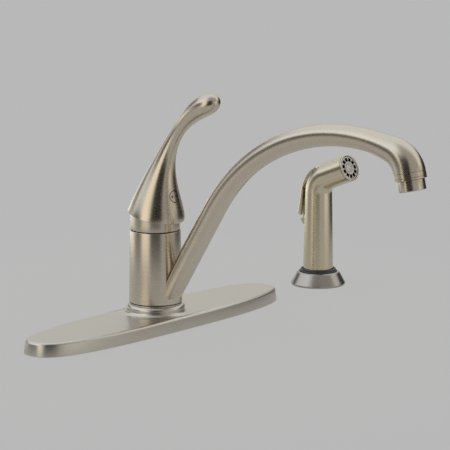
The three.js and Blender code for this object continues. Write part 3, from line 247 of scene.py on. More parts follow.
def skin(name, rings, along, closed=False, place=None):
    """A closed skin through rings of equal counts. Its map runs round and along it."""
    count = len(rings[0])
    points = np.vstack(rings)
    girth = max(
        np.linalg.norm(np.diff(np.vstack((ring, ring[:1])), axis=0), axis=1).sum() for ring in rings)
    faces = []
    corners = []
    for level in range(len(rings) if closed else len(rings) - 1):
        upper = (level + 1) % len(rings)
        low, high = along[level], along[level + 1]
        for i in range(count):
            j = (i + 1) % count
            faces.append((level * count + i, level * count + j, upper * count + j, upper * count + i))
            left, right = girth * i / count, girth * (i + 1) / count
            corners += [(left, low), (right, low), (right, high), (left, high)]
    if not closed:
        for level, turned_over in ((0, True), (len(rings) - 1, False)):
            centre = len(points)
            height = along[level]
            points = np.vstack((points, rings[level].mean(axis=0)))
            for i in range(count):
                here, following = level * count + i, level * count + (i + 1) % count
                faces.append((centre, following, here) if turned_over else (centre, here, following))
                corners += [(0.0, height), (girth * (i + 1) / count, height), (girth * i / count, height)]
    mesh = bpy.data.meshes.new(name)
    mesh.from_pydata([tuple(p) for p in points], [], faces)
    layer = mesh.uv_layers.new(name="brushing")
    layer.data.foreach_set("uv", np.asarray(corners, np.float32).ravel())
    if place is not None:
        mesh.transform(place)
    return tidy_mesh(mesh)


def turned(name, outline, facets, place=None):
    """A solid of revolution about Z from a closed outline of (r, z)."""
    angles = np.arange(facets) * 2 * math.pi / facets
    rings = [
        np.column_stack((r * np.cos(angles), r * np.sin(angles), np.full(facets, z)))
        for r, z in outline
    ]
    looped = np.asarray(list(outline) + [outline[0]], float)
    along = np.concatenate(([0.0], np.cumsum(np.linalg.norm(np.diff(looped, axis=0), axis=1))))
    return skin(name, rings, along, closed=True, place=place)


def round_bar(name, start, end, radius, facets=48):
    """A cylinder from one point to another."""
    direction = Vector(end) - Vector(start)
    turn = Vector((0, 0, 1)).rotation_difference(direction).to_matrix().to_4x4()
    outline = cylinder(radius, 0, direction.length)
    return turned(name, outline, facets, Matrix.Translation(start) @ turn)


def block(name, low, high):
    """A plain box, used only to cut with."""
    x0, y0, z0 = low
    x1, y1, z1 = high
    bottom = [(x0, y0, z0), (x1, y0, z0), (x1, y1, z0), (x0, y1, z0)]
    top = [(x, y, z1) for x, y, _ in bottom]
    return skin(name, [np.array(bottom, float), np.array(top, float)], [0.0, z1 - z0])


def shown(name, mesh, material=None):
    piece = bpy.data.objects.new(name, mesh)
    bpy.context.scene.collection.objects.link(piece)
    if material is not None:
        mesh.materials.clear()
        mesh.materials.append(material)
    return piece


def remove(piece):
    mesh = piece.data
    bpy.data.objects.remove(piece)
    if mesh.users == 0:
        bpy.data.meshes.remove(mesh)


def evaluated_mesh(piece):
    """The piece's mesh with its modifiers applied. The modifiers are removed from the piece."""
    bpy.context.view_layer.update()
    depsgraph = bpy.context.evaluated_depsgraph_get()
    mesh = bpy.data.meshes.new_from_object(
        piece.evaluated_get(depsgraph), preserve_all_data_layers=True, depsgraph=depsgraph)
    piece.modifiers.clear()
    return mesh


def combined(name, mesh, steps, sharp=32):
    """A mesh joined with and cut by others. Each step is (operation, mesh)."""
    whole = shown(name, mesh)
    tools = []
    for operation, tool_mesh in steps:
        tool = shown(f"{name}_tool", tool_mesh)
        tools.append(tool)
        modifier = whole.modifiers.new(operation.title(), "BOOLEAN")
        modifier.operation = operation
        modifier.solver = "EXACT"
        modifier.object = tool
    result = evaluated_mesh(whole)
    for piece in (whole, *tools):
        remove(piece)
    if len(result.polygons) < 8:
        raise RuntimeError(f"{name}: cutting left no shape")
    result.name = name
    result.polygons.foreach_set("material_index", [0] * len(result.polygons))
    return tidy_mesh(result, sharp)


def dress(name, mesh, finish, body):
    """Shows a finished mesh in place of the CAD node of that name and lets it ride on its body."""
    piece = shown(f"{name}_finished", mesh, MATERIALS[finish])
    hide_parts(name)
    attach(piece, body)


# ---------------------------------------------------------------------------
# Materials
# ---------------------------------------------------------------------------

def node(tree, kind, **settings):
    made = tree.nodes.new(kind)
    for key, value in settings.items():
        setattr(made, key, value)
    return made


def wire(tree, *links):
    """Joins sockets. Each link is (node, output, node, input)."""
    for source, output, target, entry in links:
        tree.links.new(source.outputs[output], target.inputs[entry])


def arithmetic(tree, operation, first, second=None):
    """The result of a math node, whose second value is a socket or a plain number."""
    made = node(tree, "ShaderNodeMath", operation=operation)
    tree.links.new(first, made.inputs[0])
    if isinstance(second, bpy.types.NodeSocket):
        tree.links.new(second, made.inputs[1])
    elif second is not None:
        made.inputs[1].default_value = second
    return made.outputs["Value"]


def ranged(tree, value, from_low, from_high, low, high, soft=False):
    """Carries a value from one range over to another and holds it there."""
    made = node(tree, "ShaderNodeMapRange", interpolation_type="SMOOTHSTEP" if soft else "LINEAR")
    bounds = (from_low, from_high, low, high)
    for entry, number in zip(("From Min", "From Max", "To Min", "To Max"), bounds):
        made.inputs[entry].default_value = number
    tree.links.new(value, made.inputs["Value"])
    return made.outputs["Result"]


def mixed(tree, factor, first, second):
    """Mixes two colours, each a socket or a plain colour."""
    mix = node(tree, "ShaderNodeMix", data_type="RGBA")
    tree.links.new(factor, mix.inputs["Factor"])
    for entry, shade in (("A", first), ("B", second)):
        if isinstance(shade, bpy.types.NodeSocket):
            tree.links.new(shade, mix.inputs[entry])
        else:
            mix.inputs[entry].default_value = (*shade, 1)
    return mix.outputs["Result"]


def noise(tree, coordinates, scale, detail, stretch=(1.0, 1.0, 1.0)):
    """Noise over coordinates that are stretched first. Returns its factor."""
    mapping = node(tree, "ShaderNodeMapping")
    mapping.inputs["Scale"].default_value = stretch
    tree.links.new(coordinates, mapping.inputs["Vector"])
    texture = node(tree, "ShaderNodeTexNoise")
    texture.inputs["Scale"].default_value = scale
    texture.inputs["Detail"].default_value = detail
    tree.links.new(mapping.outputs["Vector"], texture.inputs["Vector"])
    return texture.outputs["Fac"]


def spread(tree, value, low, high):
    """Spreads noise, which keeps to its middle, between two values."""
    return ranged(tree, value, 0.3, 0.7, low, high)


def bumped(tree, height, strength, distance):
    bump = node(tree, "ShaderNodeBump")
    bump.inputs["Strength"].default_value = strength
    bump.inputs["Distance"].default_value = distance
    tree.links.new(height, bump.inputs["Height"])
    return bump.outputs["Normal"]


def scaled(colour, share):
    return tuple(min(channel * share, 1.0) for channel in colour)


def new_material(name):
    """A material with its node tree and its surface shader."""
    material = bpy.data.materials.new(name)
    material.use_nodes = True
    tree = material.node_tree
    return material, tree, tree.nodes["Principled BSDF"]


def brushed_metal(name, colour, roughness, on_map=True, anisotropy=0.0):
    """Satin metal with fine lines that run round the piece's own map. With anisotropy the
    reflections are drawn out across those lines."""
    fine = 4200.0
    line_shade = 0.025
    line_roughness = 0.012
    cloud_roughness = 0.008
    material, tree, surface = new_material(name)
    place = node(tree, "ShaderNodeTexCoord").outputs["Object"]
    if on_map:
        brushing = node(tree, "ShaderNodeUVMap", uv_map="brushing").outputs["UV"]
        lines = noise(tree, brushing, 1.0, 4.0, (60.0, fine, 1.0))
    else:
        lines = noise(tree, place, 1.0, 4.0, (120.0, 120.0, fine))
    cloud = noise(tree, place, 30.0, 2.0)
    shade = mixed(
        tree, spread(tree, lines, 0.0, 1.0), scaled(colour, 1 - line_shade), scaled(colour, 1 + line_shade))
    rough = arithmetic(
        tree, "ADD", spread(tree, lines, roughness - line_roughness, roughness + line_roughness),
        spread(tree, cloud, -cloud_roughness, cloud_roughness))
    surface.inputs["Metallic"].default_value = 1.0
    tree.links.new(shade, surface.inputs["Base Color"])
    tree.links.new(rough, surface.inputs["Roughness"])
    tree.links.new(bumped(tree, lines, 0.002, 0.00002), surface.inputs["Normal"])
    if anisotropy:
        surface.inputs["Anisotropic"].default_value = anisotropy
        surface.inputs["Anisotropic Rotation"].default_value = 0.25
        tangent = node(tree, "ShaderNodeTangent", direction_type="UV_MAP", uv_map="brushing")
        tree.links.new(tangent.outputs["Tangent"], surface.inputs["Tangent"])
    return material


def moulded(name, colour, roughness, grain_size=0.0004, bump=0.15, shade_the_holes=False):
    """Moulded plastic or rubber with a fine grain. Its holes may get painted shade, near black where the
    "inside" attribute is 1.
    """
    # Near black, painted into the holes as shade.
    painted_hole_shade = (0.012, 0.012, 0.012)
    grain_roughness = 0.05
    dark, light = 0.93, 1.05
    material, tree, surface = new_material(name)
    place = node(tree, "ShaderNodeTexCoord").outputs["Object"]
    grain = noise(tree, place, 1 / grain_size, 3.0)
    cloud = noise(tree, place, 90.0, 2.0)
    shade = mixed(tree, spread(tree, cloud, 0.0, 1.0), scaled(colour, dark), scaled(colour, light))
    # Painted shade: the colour turns near black where the "inside" attribute marks the holes.
    if shade_the_holes:
        inside = node(tree, "ShaderNodeAttribute", attribute_name="inside").outputs["Fac"]
        shade = mixed(tree, ranged(tree, inside, 0.02, 0.08, 0.0, 1.0), shade, painted_hole_shade)
    rough = spread(tree, grain, roughness - grain_roughness, roughness + grain_roughness)
    tree.links.new(shade, surface.inputs["Base Color"])
    tree.links.new(rough, surface.inputs["Roughness"])
    tree.links.new(bumped(tree, grain, bump, grain_size * 0.3), surface.inputs["Normal"])
    return material


def make_materials(finishes):
    nickel = tuple(finishes.nickel)
    plate = tuple(finishes.plate)
    face = tuple(finishes.face)
    satin = finishes.satin
    drawn_out = 0.4
    return {
        "nickel": brushed_metal("Brushed nickel", nickel, satin, anisotropy=drawn_out),
        "cap": brushed_metal("Brushed nickel cap", scaled(nickel, 0.94), satin, anisotropy=drawn_out),
        "plate": brushed_metal("Brushed nickel plate", plate, satin + 0.05),
        "spray": brushed_metal("Brushed nickel spray", tuple(finishes.spray), satin, anisotropy=drawn_out),
        "holder": brushed_metal("Brushed nickel holder", tuple(finishes.holder), satin, anisotropy=drawn_out),
        "brushed_nickel": brushed_metal("Nickel part", nickel, satin, on_map=False),
        "brushed_plate": brushed_metal("Nickel plate part", plate, satin, on_map=False),
        "brass": brushed_metal("Turned brass", (0.70, 0.56, 0.32), 0.36, on_map=False),
        "steel": brushed_metal("Bright steel", (0.62, 0.63, 0.64), 0.25, on_map=False),
        "black_rubber": moulded("Black rubber", (0.022, 0.022, 0.023), 0.75, 0.0006),
        "black_plastic": moulded("Black plastic", (0.030, 0.033, 0.036), 0.42),
        "white_plastic": moulded("White acetal", (0.78, 0.77, 0.73), 0.40),
        "grey_plastic": moulded("Glass-filled nylon", (0.30, 0.31, 0.32), 0.50, 0.0003, 0.25),
        "pale_plastic": moulded("Pale satin plastic", face, 0.33),
        # The face's holes get painted shade, near black.
        "spray_face": moulded("Pale plastic, with painted shade in its holes", face, 0.33, shade_the_holes=True),
        "ceramic": moulded("Lapped alumina", (0.86, 0.85, 0.81), 0.18, 0.0002, 0.03),
        "hot_mark": moulded("Red enamel", (0.36, 0.02, 0.018), 0.30, 0.0003, 0.04),
        "cold_mark": moulded("Blue enamel", (0.02, 0.045, 0.16), 0.30, 0.0003, 0.04),
    }


MATERIALS = {}


# ---------------------------------------------------------------------------
# Geometry Nodes
# ---------------------------------------------------------------------------

def new_tree(name, inputs):
    tree = bpy.data.node_groups.new(name, "GeometryNodeTree")
    tree.interface.new_socket("Geometry", in_out="INPUT", socket_type="NodeSocketGeometry")
    for label, kind, default in inputs:
        socket = tree.interface.new_socket(label, in_out="INPUT", socket_type=kind)
        if default is not None:
            socket.default_value = default
    tree.interface.new_socket("Geometry", in_out="OUTPUT", socket_type="NodeSocketGeometry")
    return tree, node(tree, "NodeGroupInput"), node(tree, "NodeGroupOutput")


def finish_tree(tree, given, last, output, result):
    """Ends a tree in Realize Instances and Set Material."""
    realize = node(tree, "GeometryNodeRealizeInstances")
    finish = node(tree, "GeometryNodeSetMaterial")
    wire(
        tree,
        (last, output, realize, "Geometry"),
        (realize, "Geometry", finish, "Geometry"),
        (given, "Material", finish, "Material"),
        (finish, "Geometry", result, "Geometry"),
    )


def through_tree(name, mesh, tree, values):
    """Runs a mesh through a node tree and gives back the plain mesh."""
    piece = shown(f"{name}_source", mesh)
    modifier = piece.modifiers.new(tree.name, "NODES")
    modifier.node_group = tree
    for item in tree.interface.items_tree:
        if item.in_out == "INPUT" and item.name in values:
            modifier[item.identifier] = values[item.name]
    result = evaluated_mesh(piece)
    remove(piece)
    if not result.polygons:
        raise RuntimeError(f"{name}: its node tree made no faces")
    result.name = name
    return result


def ring_of_holes_tree():
    """Cuts a ring of equal square holes through a disc that lies across Z."""
    tree, given, result = new_tree("Ring of holes", [
        ("Holes", "NodeSocketInt", 11),
        ("Ring radius", "NodeSocketFloat", 0.007),
        ("Hole size", "NodeSocketVector", (0.0026, 0.0026, 0.01)),
        ("Material", "NodeSocketMaterial", None),
    ])
    points = node(tree, "GeometryNodeMeshCircle")
    cutter = node(tree, "GeometryNodeMeshCube")
    position = node(tree, "GeometryNodeInputPosition")
    face_out = node(tree, "FunctionNodeAlignRotationToVector", axis="X")
    place = node(tree, "GeometryNodeInstanceOnPoints")
    realize = node(tree, "GeometryNodeRealizeInstances")
    boolean = node(tree, "GeometryNodeMeshBoolean", operation="DIFFERENCE")
    wire(
        tree,
        (given, "Holes", points, "Vertices"),
        (given, "Ring radius", points, "Radius"),
        (given, "Hole size", cutter, "Size"),
        (position, "Position", face_out, "Vector"),
        (points, "Mesh", place, "Points"),
        (cutter, "Mesh", place, "Instance"),
        (face_out, "Rotation", place, "Rotation"),
        (place, "Instances", realize, "Geometry"),
        (given, "Geometry", boolean, "Mesh 1"),
        (realize, "Geometry", boolean, "Mesh 2"),
    )
    finish_tree(tree, given, boolean, "Mesh", result)
    return tree


def kept(tree, name, kind, domain):
    """A node that keeps a value on the geometry under a name."""
    made = node(tree, "GeometryNodeStoreNamedAttribute", data_type=kind, domain=domain)
    made.inputs["Name"].default_value = name
    return made


def recalled(tree, name):
    """A node that reads back a number that the geometry carries."""
    made = node(tree, "GeometryNodeInputNamedAttribute", data_type="FLOAT")
    made.inputs["Name"].default_value = name
    return made


def tube_tree():
    """Sweeps a circle along a line of points that carry the tube's radius."""
    tree, given, result = new_tree("Tube along a line", [
        ("Facets", "NodeSocketInt", 96),
        ("Girth", "NodeSocketFloat", 0.08),
        ("Material", "NodeSocketMaterial", None),
    ])
    line = node(tree, "GeometryNodeMeshToCurve")
    radius = recalled(tree, "tube_radius")
    profile = node(tree, "GeometryNodeCurvePrimitiveCircle")
    profile.inputs["Radius"].default_value = 1.0
    distance = node(tree, "GeometryNodeSplineParameter")
    keep_along = kept(tree, "along", "FLOAT", "POINT")
    keep_round = kept(tree, "round", "FLOAT", "POINT")
    sweep = node(tree, "GeometryNodeCurveToMesh")
    sweep.inputs["Fill Caps"].default_value = True
    along = recalled(tree, "along")
    around = recalled(tree, "round")
    widen = node(tree, "ShaderNodeMath", operation="MULTIPLY")
    pair = node(tree, "ShaderNodeCombineXYZ")
    keep_map = kept(tree, "brushing", "FLOAT2", "CORNER")
    wire(
        tree,
        (given, "Geometry", line, "Mesh"),
        (line, "Curve", keep_along, "Geometry"),
        (distance, "Length", keep_along, "Value"),
        (given, "Facets", profile, "Resolution"),
        (profile, "Curve", keep_round, "Geometry"),
        (distance, "Factor", keep_round, "Value"),
        (keep_along, "Geometry", sweep, "Curve"),
        (keep_round, "Geometry", sweep, "Profile Curve"),
        (radius, "Attribute", sweep, "Scale"),
        (around, "Attribute", widen, 0),
        (given, "Girth", widen, 1),
        (widen, "Value", pair, "X"),
        (along, "Attribute", pair, "Y"),
        (sweep, "Mesh", keep_map, "Geometry"),
        (pair, "Vector", keep_map, "Value"),
    )
    finish_tree(tree, given, keep_map, "Geometry", result)
    return tree


TREES = {}


def tree_for(name):
    makers = {"holes": ring_of_holes_tree, "tube": tube_tree}
    if name not in TREES:
        TREES[name] = makers[name]()
    return TREES[name]


# ---------------------------------------------------------------------------
# Properties
# ---------------------------------------------------------------------------

def metres(name, description, default, least=0.0):
    return bpy.props.FloatProperty(
        name=name, description=description, default=default, min=least, precision=4,
        subtype="DISTANCE", unit="LENGTH")


def degrees(name, description, default):
    return bpy.props.FloatProperty(
        name=name, description=description, default=math.radians(default),
        subtype="ANGLE", unit="ROTATION")


def tint(name, description, default):
    return bpy.props.FloatVectorProperty(
        name=name, description=description, default=default, size=3, min=0.0, max=1.0,
        subtype="COLOR")


class FaucetPlateSizes(bpy.types.PropertyGroup):
    draft: metres("Draft", "How far the rim leans in over its height", 0.0015)
    edge_round: metres("Edge rounding", "Radius of the plate's upper edge", 0.0024)
    skirt_wall: metres("Skirt wall", "Thickness of the rim", 0.0024)
    top_wall: metres("Top wall", "Thickness of the top", 0.0022)
    collar_rise: metres("Collar rise", "Height of the collar above the plate", 0.0083)
    collar_bulge: metres("Collar bulge", "How far the collar stands out past the sleeve", 0.0020)
    outline_power: bpy.props.FloatProperty(
        name="Outline power", description="2 is an ellipse, more is squarer", default=2.8, min=2.0)


class FaucetSpoutSizes(bpy.types.PropertyGroup):
    post: metres("Post radius", "Radius of the brass post that the sleeve turns on", 0.0172)
    sleeve_wall: metres("Sleeve wall", "Wall at the sleeve's top", 0.0022)
    sleeve_taper: metres("Sleeve taper", "Extra radius at the sleeve's foot", 0.001)
    start_forward: metres("Tube start", "Where the tube's line starts, forward of the axis", 0.0205)
    start_rise: metres("Tube start rise", "Start of the tube's line above the sleeve's foot", 0.0154)
    slope: degrees("Slope", "Slope of the straight part", 57.6)
    straight: metres("Straight part", "Length of the straight part", 0.0758)
    crest_radius: metres("Crest radius", "Radius of the long arch", 0.149)
    crest_end_slope: degrees("Crest end slope", "Slope where the arch ends", -16.4)
    outlet_bend: metres("Outlet bend", "Radius of the last bend", 0.021)
    outlet_tilt: degrees("Outlet tilt", "Lean of the outlet from the vertical", 13)
    outlet_straight: metres("Outlet straight", "Length of the outlet's straight end", 0.0043)
    foot_rise: metres("Foot rise", "Flat underside of the foot above the sleeve's foot", 0.0047)
    root_radius: metres("Root radius", "Tube radius at the sleeve", 0.0089)
    crest_tube: metres("Crest tube radius", "Tube radius at the crest", 0.00825)
    collar: metres("Outlet collar radius", "Tube radius at the outlet", 0.0118)
    flat_half: metres("Flat half width", "Half the flat under the tube's root", 0.0065)
    bore: metres("Water bore", "Radius of the water bore", 0.005)
    groove_pitch: metres("Groove pitch", "Distance between the two collar grooves", 0.0037)


class FaucetAeratorSizes(bpy.types.PropertyGroup):
    radius: metres("Radius", "Outside radius of the aerator", 0.010)
    below: metres("Length", "Length below the spout's collar", 0.0084)
    thread: metres("Thread length", "Length inside the spout", 0.006)
    insert: metres("Insert thickness", "Thickness of the slotted insert", 0.004)
    slots: bpy.props.IntProperty(name="Slots", description="Slots in the insert", default=16, min=3)


class FaucetLeverSizes(bpy.types.PropertyGroup):
    tilt: degrees("Rest tilt", "Forward lean of the closed lever", 14)
    skirt_inner: metres("Skirt bore", "Inside radius of the dome", 0.0201)
    skirt_wall: metres("Skirt wall", "Wall at the dome's rim", 0.0023)
    reach: metres("Reach", "Lever tip forward of the axis", 0.0638)
    rise: metres("Rise", "Lever tip above its pivot", 0.0952)
    root_pull: metres("Root pull", "How long the lever follows the dome's axis", 0.011)
    tip_pull_forward: metres("Tip pull forward", "Second guide point, forward", 0.0039)
    tip_pull_rise: metres("Tip pull rise", "Second guide point, above the pivot", 0.0755)
    waist: metres("Waist radius", "Radius at the slimmest place", 0.0051)
    waist_along: metres("Waist place", "Distance of the waist along the lever", 0.074)
    knob_half_width: metres("Tip half width", "Half width of the thick end", 0.0092)
    knob_half_depth: metres("Tip half depth", "Half depth of the thick end", 0.0082)
    knob_along: metres("Tip place", "Distance of the thick end along the lever", 0.109)
    front_bulge: metres("Front bulge", "How far the dome is set forward of its axis", 0.0009)
    button_rise: metres("Button rise", "Button middle above the pivot", 0.0164)
    button_radius: metres("Button radius", "Radius of the button", 0.0045)
    dot_radius: metres("Mark radius", "Radius of the hot and cold marks", 0.00095)
    dot_offset: metres("Mark offset", "Distance of each mark from the middle", 0.0022)


class FaucetSpraySizes(bpy.types.PropertyGroup):
    holder_top: metres("Holder top radius", "Radius of the holder's top", 0.0174)
    holder_mouth: metres("Holder mouth radius", "Radius of the holder's mouth", 0.0158)
    ring_rise: metres("Guide ring rise", "Height of the guide ring above the holder", 0.0026)
    foot: metres("Foot height", "Wand's foot above the deck", 0.003)
    body: metres("Body radius", "Wand radius at its foot", 0.0127)
    body_top: metres("Upper body radius", "Wand radius under the bend", 0.0113)
    neck: metres("Neck radius", "Wand radius at the nozzle", 0.0112)
    bend_start: metres("Bend start", "Height where the bend starts", 0.078)
    bend_radius: metres("Bend radius", "Radius of the bend's middle line", 0.016)
    neck_slope: degrees("Neck slope", "Slope of the nozzle's neck", 22)
    neck_length: metres("Neck length", "Straight part of the neck", 0.0244)
    bezel: metres("Rim width", "Width of the rim round the face", 0.0012)
    hole_ring: metres("Hole ring", "Radius of the ring of holes", 0.0071)
    hole_size: metres("Hole size", "Side of one hole", 0.0032)
    holes: bpy.props.IntProperty(name="Holes", description="Holes in the face", default=11, min=3)
    button: metres("Face button", "Radius of the button in the face", 0.0031)
    standoff: metres("Trigger standoff", "Free end of the trigger off the wand's back", 0.0068)
    lean: bpy.props.FloatProperty(
        name="Trigger lean", description="Above 1 the trigger closes on the wand early",
        default=1.25, min=0.5)
    side_low: metres(
        "Trigger side at the free end", "Edge of the trigger's sides off the wand's back", 0.0022)
    side_bend: metres("Trigger side at the bend", "The same where the bend starts", 0.0003)
    side_pin: metres("Trigger side at the pin", "The same at the trigger's pin", -0.0052, -0.01)
    trigger_width: metres("Trigger width", "Width of the trigger", 0.014)
    trigger_low: metres("Trigger free end", "Height of the trigger's free end", 0.057)
    trigger_top: degrees("Trigger top", "Angle round the bend where the trigger ends", 64)
    stop_standoff: metres(
        "Stop standoff", "Height of the stop under the trigger, off the wand's back", 0.0042)
    stop_low: metres("Stop low end", "Height of the stop's lower end", 0.0485)
    stop_gap: metres("Stop gap", "Between the stop and the trigger's free end", 0.0019)


class FaucetFinishes(bpy.types.PropertyGroup):
    nickel: tint("Nickel", "Colour of the brushed nickel", (0.62, 0.555, 0.455))
    plate: tint("Plate", "Colour of the deck plate", (0.60, 0.57, 0.505))
    spray: tint("Spray", "Colour of the spray's wand", (0.66, 0.585, 0.44))
    holder: tint("Holder", "Colour of the spray's holder", (0.42, 0.395, 0.355))
    face: tint("Spray face", "Colour of the spray's face", (0.66, 0.64, 0.60))
    satin: bpy.props.FloatProperty(
        name="Satin", description="Roughness of the brushed nickel", default=0.27, min=0.0, max=1.0,
        subtype="FACTOR")


class FaucetStudio(bpy.types.PropertyGroup):
    azimuth: degrees("Azimuth", "Camera's turn about the faucet", -48.2)
    elevation: degrees("Elevation", "Camera's height as an angle", 12.9)
    distance: metres("Distance", "Camera's distance from the origin", 2.0788)
    lens: bpy.props.FloatProperty(name="Lens", description="Focal length", default=212.64, unit="CAMERA")
    aim: bpy.props.FloatVectorProperty(
        name="Aim", description="Camera's line of sight", default=(0.75037, 0.63572, -0.18683),
        subtype="DIRECTION")
    backdrop: tint("Backdrop", "Colour of the backdrop", (0.479, 0.479, 0.479))
    floor: tint("Floor", "Colour of the floor as light falls on it", (0.80, 0.77, 0.71))
    floor_reach: metres("Floor reach", "Radius of the floor, past which the backdrop is seen", 0.45)
    card_turn: degrees("Card turn", "Turn of the dark card from the camera's side", 8)
    card_distance: metres("Card distance", "Distance of the dark card from the faucet's axis", 0.42)
    card_width: metres("Card width", "Width of the dark card", 0.36)
    card_height: metres("Card height", "Height of the dark card", 0.42)
    room: tint("Room", "Light from the room between its bright and dark patches", (0.42, 0.41, 0.40))


# ---------------------------------------------------------------------------
# Deck plate
# ---------------------------------------------------------------------------

def plate_ring(inset, height, power, count=288):
    """One level of the plate's outline, drawn in by an inset, with evenly spaced points."""
    half_length = PLATE_HIGH.x - inset
    half_width = PLATE_HIGH.y - inset
    angles = np.linspace(0, 2 * math.pi, 4001)
    along = half_length * np.sign(np.cos(angles)) * np.abs(np.cos(angles)) ** (2 / power)
    across = half_width * np.sign(np.sin(angles)) * np.abs(np.sin(angles)) ** (2 / power)
    walked = np.concatenate(([0.0], np.cumsum(np.hypot(np.diff(along), np.diff(across)))))
    wanted = np.arange(count) * walked[-1] / count
    x = np.interp(wanted, walked, along)
    y = np.interp(wanted, walked, across)
    return np.column_stack((x, y, np.full(count, height)))


def collar_ring(radius, height, outline):
    """A circle with a point for each of an outline's, turned so that the strips between them
    spread evenly."""
    lengthwise = 0.5
    angles = np.arctan2(outline[:, 1] / PLATE_HIGH.y, outline[:, 0] / PLATE_HIGH.x * lengthwise)
    return np.column_stack((
        radius * np.cos(angles), radius * np.sin(angles), np.full(len(angles), height)))


def sleeve_bore(spout):
    return spout.post + POST_GAP


def sleeve_foot_radius(spout):
    return sleeve_bore(spout) + spout.sleeve_wall + spout.sleeve_taper


def collar_profile(sizes, spout, top):
    """The collar as (r, z), from its foot on the plate's top over its crown into its bore."""
    set_in = 0.0004
    fillet_width, fillet_height = 0.0046, 0.0031
    crown_radius, crown_lift, crown_end = 0.0032, 0.0012, 76
    step_share, step_depth = 0.45, 0.0011
    collar_top = PLATE_HIGH.z
    bore = sleeve_bore(spout)
    sleeve_foot = sleeve_foot_radius(spout)
    bulge = sleeve_foot + sizes.collar_bulge
    foot = bulge - set_in + fillet_width
    fillet_top = top + fillet_height
    fillet = [
        (foot - fillet_width * sine(turn), fillet_top - fillet_height * cosine(turn))
        for turn in even(0, 90, 12)
    ]
    crown = arc(crown_radius, 0, crown_end, 12, (bulge - crown_radius, fillet_top + crown_lift))
    step = sleeve_foot - sizes.collar_bulge * step_share
    throat = softened([
        (sleeve_foot - 0.0001, collar_top, 0.0003),
        (step, collar_top, 0.0002),
        (step, collar_top - step_depth),
        (bore, collar_top - step_depth, 0.0002),
        (bore, top - sizes.top_wall - 0.0001),
    ], 4)[:-1]
    return fillet + crown + throat


def plate_mesh(sizes, spout):
    level_band = 0.012
    top = PLATE_HIGH.z - sizes.collar_rise
    ceiling = top - sizes.top_wall
    power = sizes.outline_power
    outer = softened([
        (sizes.skirt_wall, 0.0),
        (0.0, 0.0, 0.0004),
        (sizes.draft, top, sizes.edge_round),
        (sizes.draft + level_band, top),
    ], 8)[:-1]
    inner = softened([
        (sizes.draft + level_band, ceiling),
        (sizes.draft + sizes.skirt_wall, ceiling, 0.0008),
        (sizes.skirt_wall, 0.0),
    ], 5)[1:-1]
    collar = collar_profile(sizes, spout, top)
    collar_foot = collar[0][0]
    base = plate_ring(0.0, 0.0, power)
    bore_ring = collar_ring(sleeve_bore(spout), ceiling, base)
    rings = [plate_ring(inset, height, power) for inset, height in outer]
    last = plate_ring(outer[-1][0], top, power)
    first_circle = collar_ring(collar_foot, top, base)
    rings += [lerp(last, first_circle, share) for share in even(0.0, 1.0, 14)[1:-1]]
    rings += [collar_ring(radius, height, base) for radius, height in collar]
    rings.append(bore_ring)
    under = plate_ring(inner[0][0], ceiling, power)
    rings += [lerp(bore_ring, under, share) for share in even(0.0, 1.0, 6)[1:-1]]
    rings += [plate_ring(inset, height, power) for inset, height in inner]
    along = [0.0]
    for here, following in zip(rings, rings[1:] + rings[:1]):
        along.append(along[-1] + float(np.linalg.norm(following - here, axis=1).mean()))
    plate = skin("deck_plate_shell", rings, along, closed=True)
    lay_map_lengthwise(plate, top - 0.0005, collar_foot + 0.0002)
    return combined("deck_plate_shape", plate, [
        ("UNION", stud_boss(x, ceiling)) for x in (-SPRAY_X / 2, SPRAY_X / 2)])


def stud_boss(x, ceiling):
    """One of the two bosses under the plate that take its studs."""
    radius, bore, overlap = 0.007, 0.003, 0.0002
    outline = softened([
        (bore, 0.0), (radius, 0.0, 0.0004), (radius, ceiling + overlap), (bore, ceiling + overlap)])
    return turned("stud_boss", outline, 48, Matrix.Translation((x, 0, 0)))


def lay_map_lengthwise(mesh, above, outside):
    """Turns the brushing lengthwise on level faces above a height and outside a radius."""
    level = 0.9
    layer = mesh.uv_layers["brushing"]
    for face in mesh.polygons:
        centre = face.center
        if face.normal.z > level and centre.z > above and math.hypot(centre.x, centre.y) > outside:
            for loop in face.loop_indices:
                place = mesh.vertices[mesh.loops[loop].vertex_index].co
                layer.data[loop].uv = (place.x, place.y)


# ---------------------------------------------------------------------------
# Spout
# ---------------------------------------------------------------------------

def spout_path(sizes):
    return MiddlePath(
        sizes.start_forward, SLEEVE_BOTTOM + sizes.start_rise, math.degrees(sizes.slope), [
            {"length": sizes.straight},
            {"radius": sizes.crest_radius, "to_slope": math.degrees(sizes.crest_end_slope)},
            {"radius": sizes.outlet_bend, "to_slope": math.degrees(sizes.outlet_tilt) - 90},
            {"length": sizes.outlet_straight},
        ])


def spout_radius(sizes, path, distance):
    straight, crest, bend = path.lengths[:3]
    slimmest = straight + crest * 0.55
    flare_start = straight + crest * 0.88
    slim = lerp(sizes.root_radius, sizes.crest_tube, ease(distance, 0, slimmest))
    return lerp(slim, sizes.collar, ease(distance, flare_start, straight + crest + bend))


def spout_section(sizes, path, distance, count=96):
    """Round above, and flat below at the root. The flat fills out along the tube."""
    straight, crest = path.lengths[:2]
    fill_start, fill_end = straight * 0.75, straight + crest * 0.6
    sharpness = 45
    flat_reach = 1.4
    radius = spout_radius(sizes, path, distance)
    flat = 1 - ease(distance, fill_start, fill_end)
    ridge = math.asin(sizes.flat_half / sizes.root_radius)
    section = []
    for i in range(count):
        angle = -180 + 360 * i / count
        from_below = math.radians(180 - abs(angle))
        pressed = 1.0
        if from_below < flat_reach:
            chord = math.cos(ridge) / math.cos(from_below)
            pressed = (1 + chord ** -sharpness) ** (-1 / sharpness)
        reach = radius * lerp(1.0, pressed, flat)
        section.append((reach * sine(angle), reach * cosine(angle)))
    return section


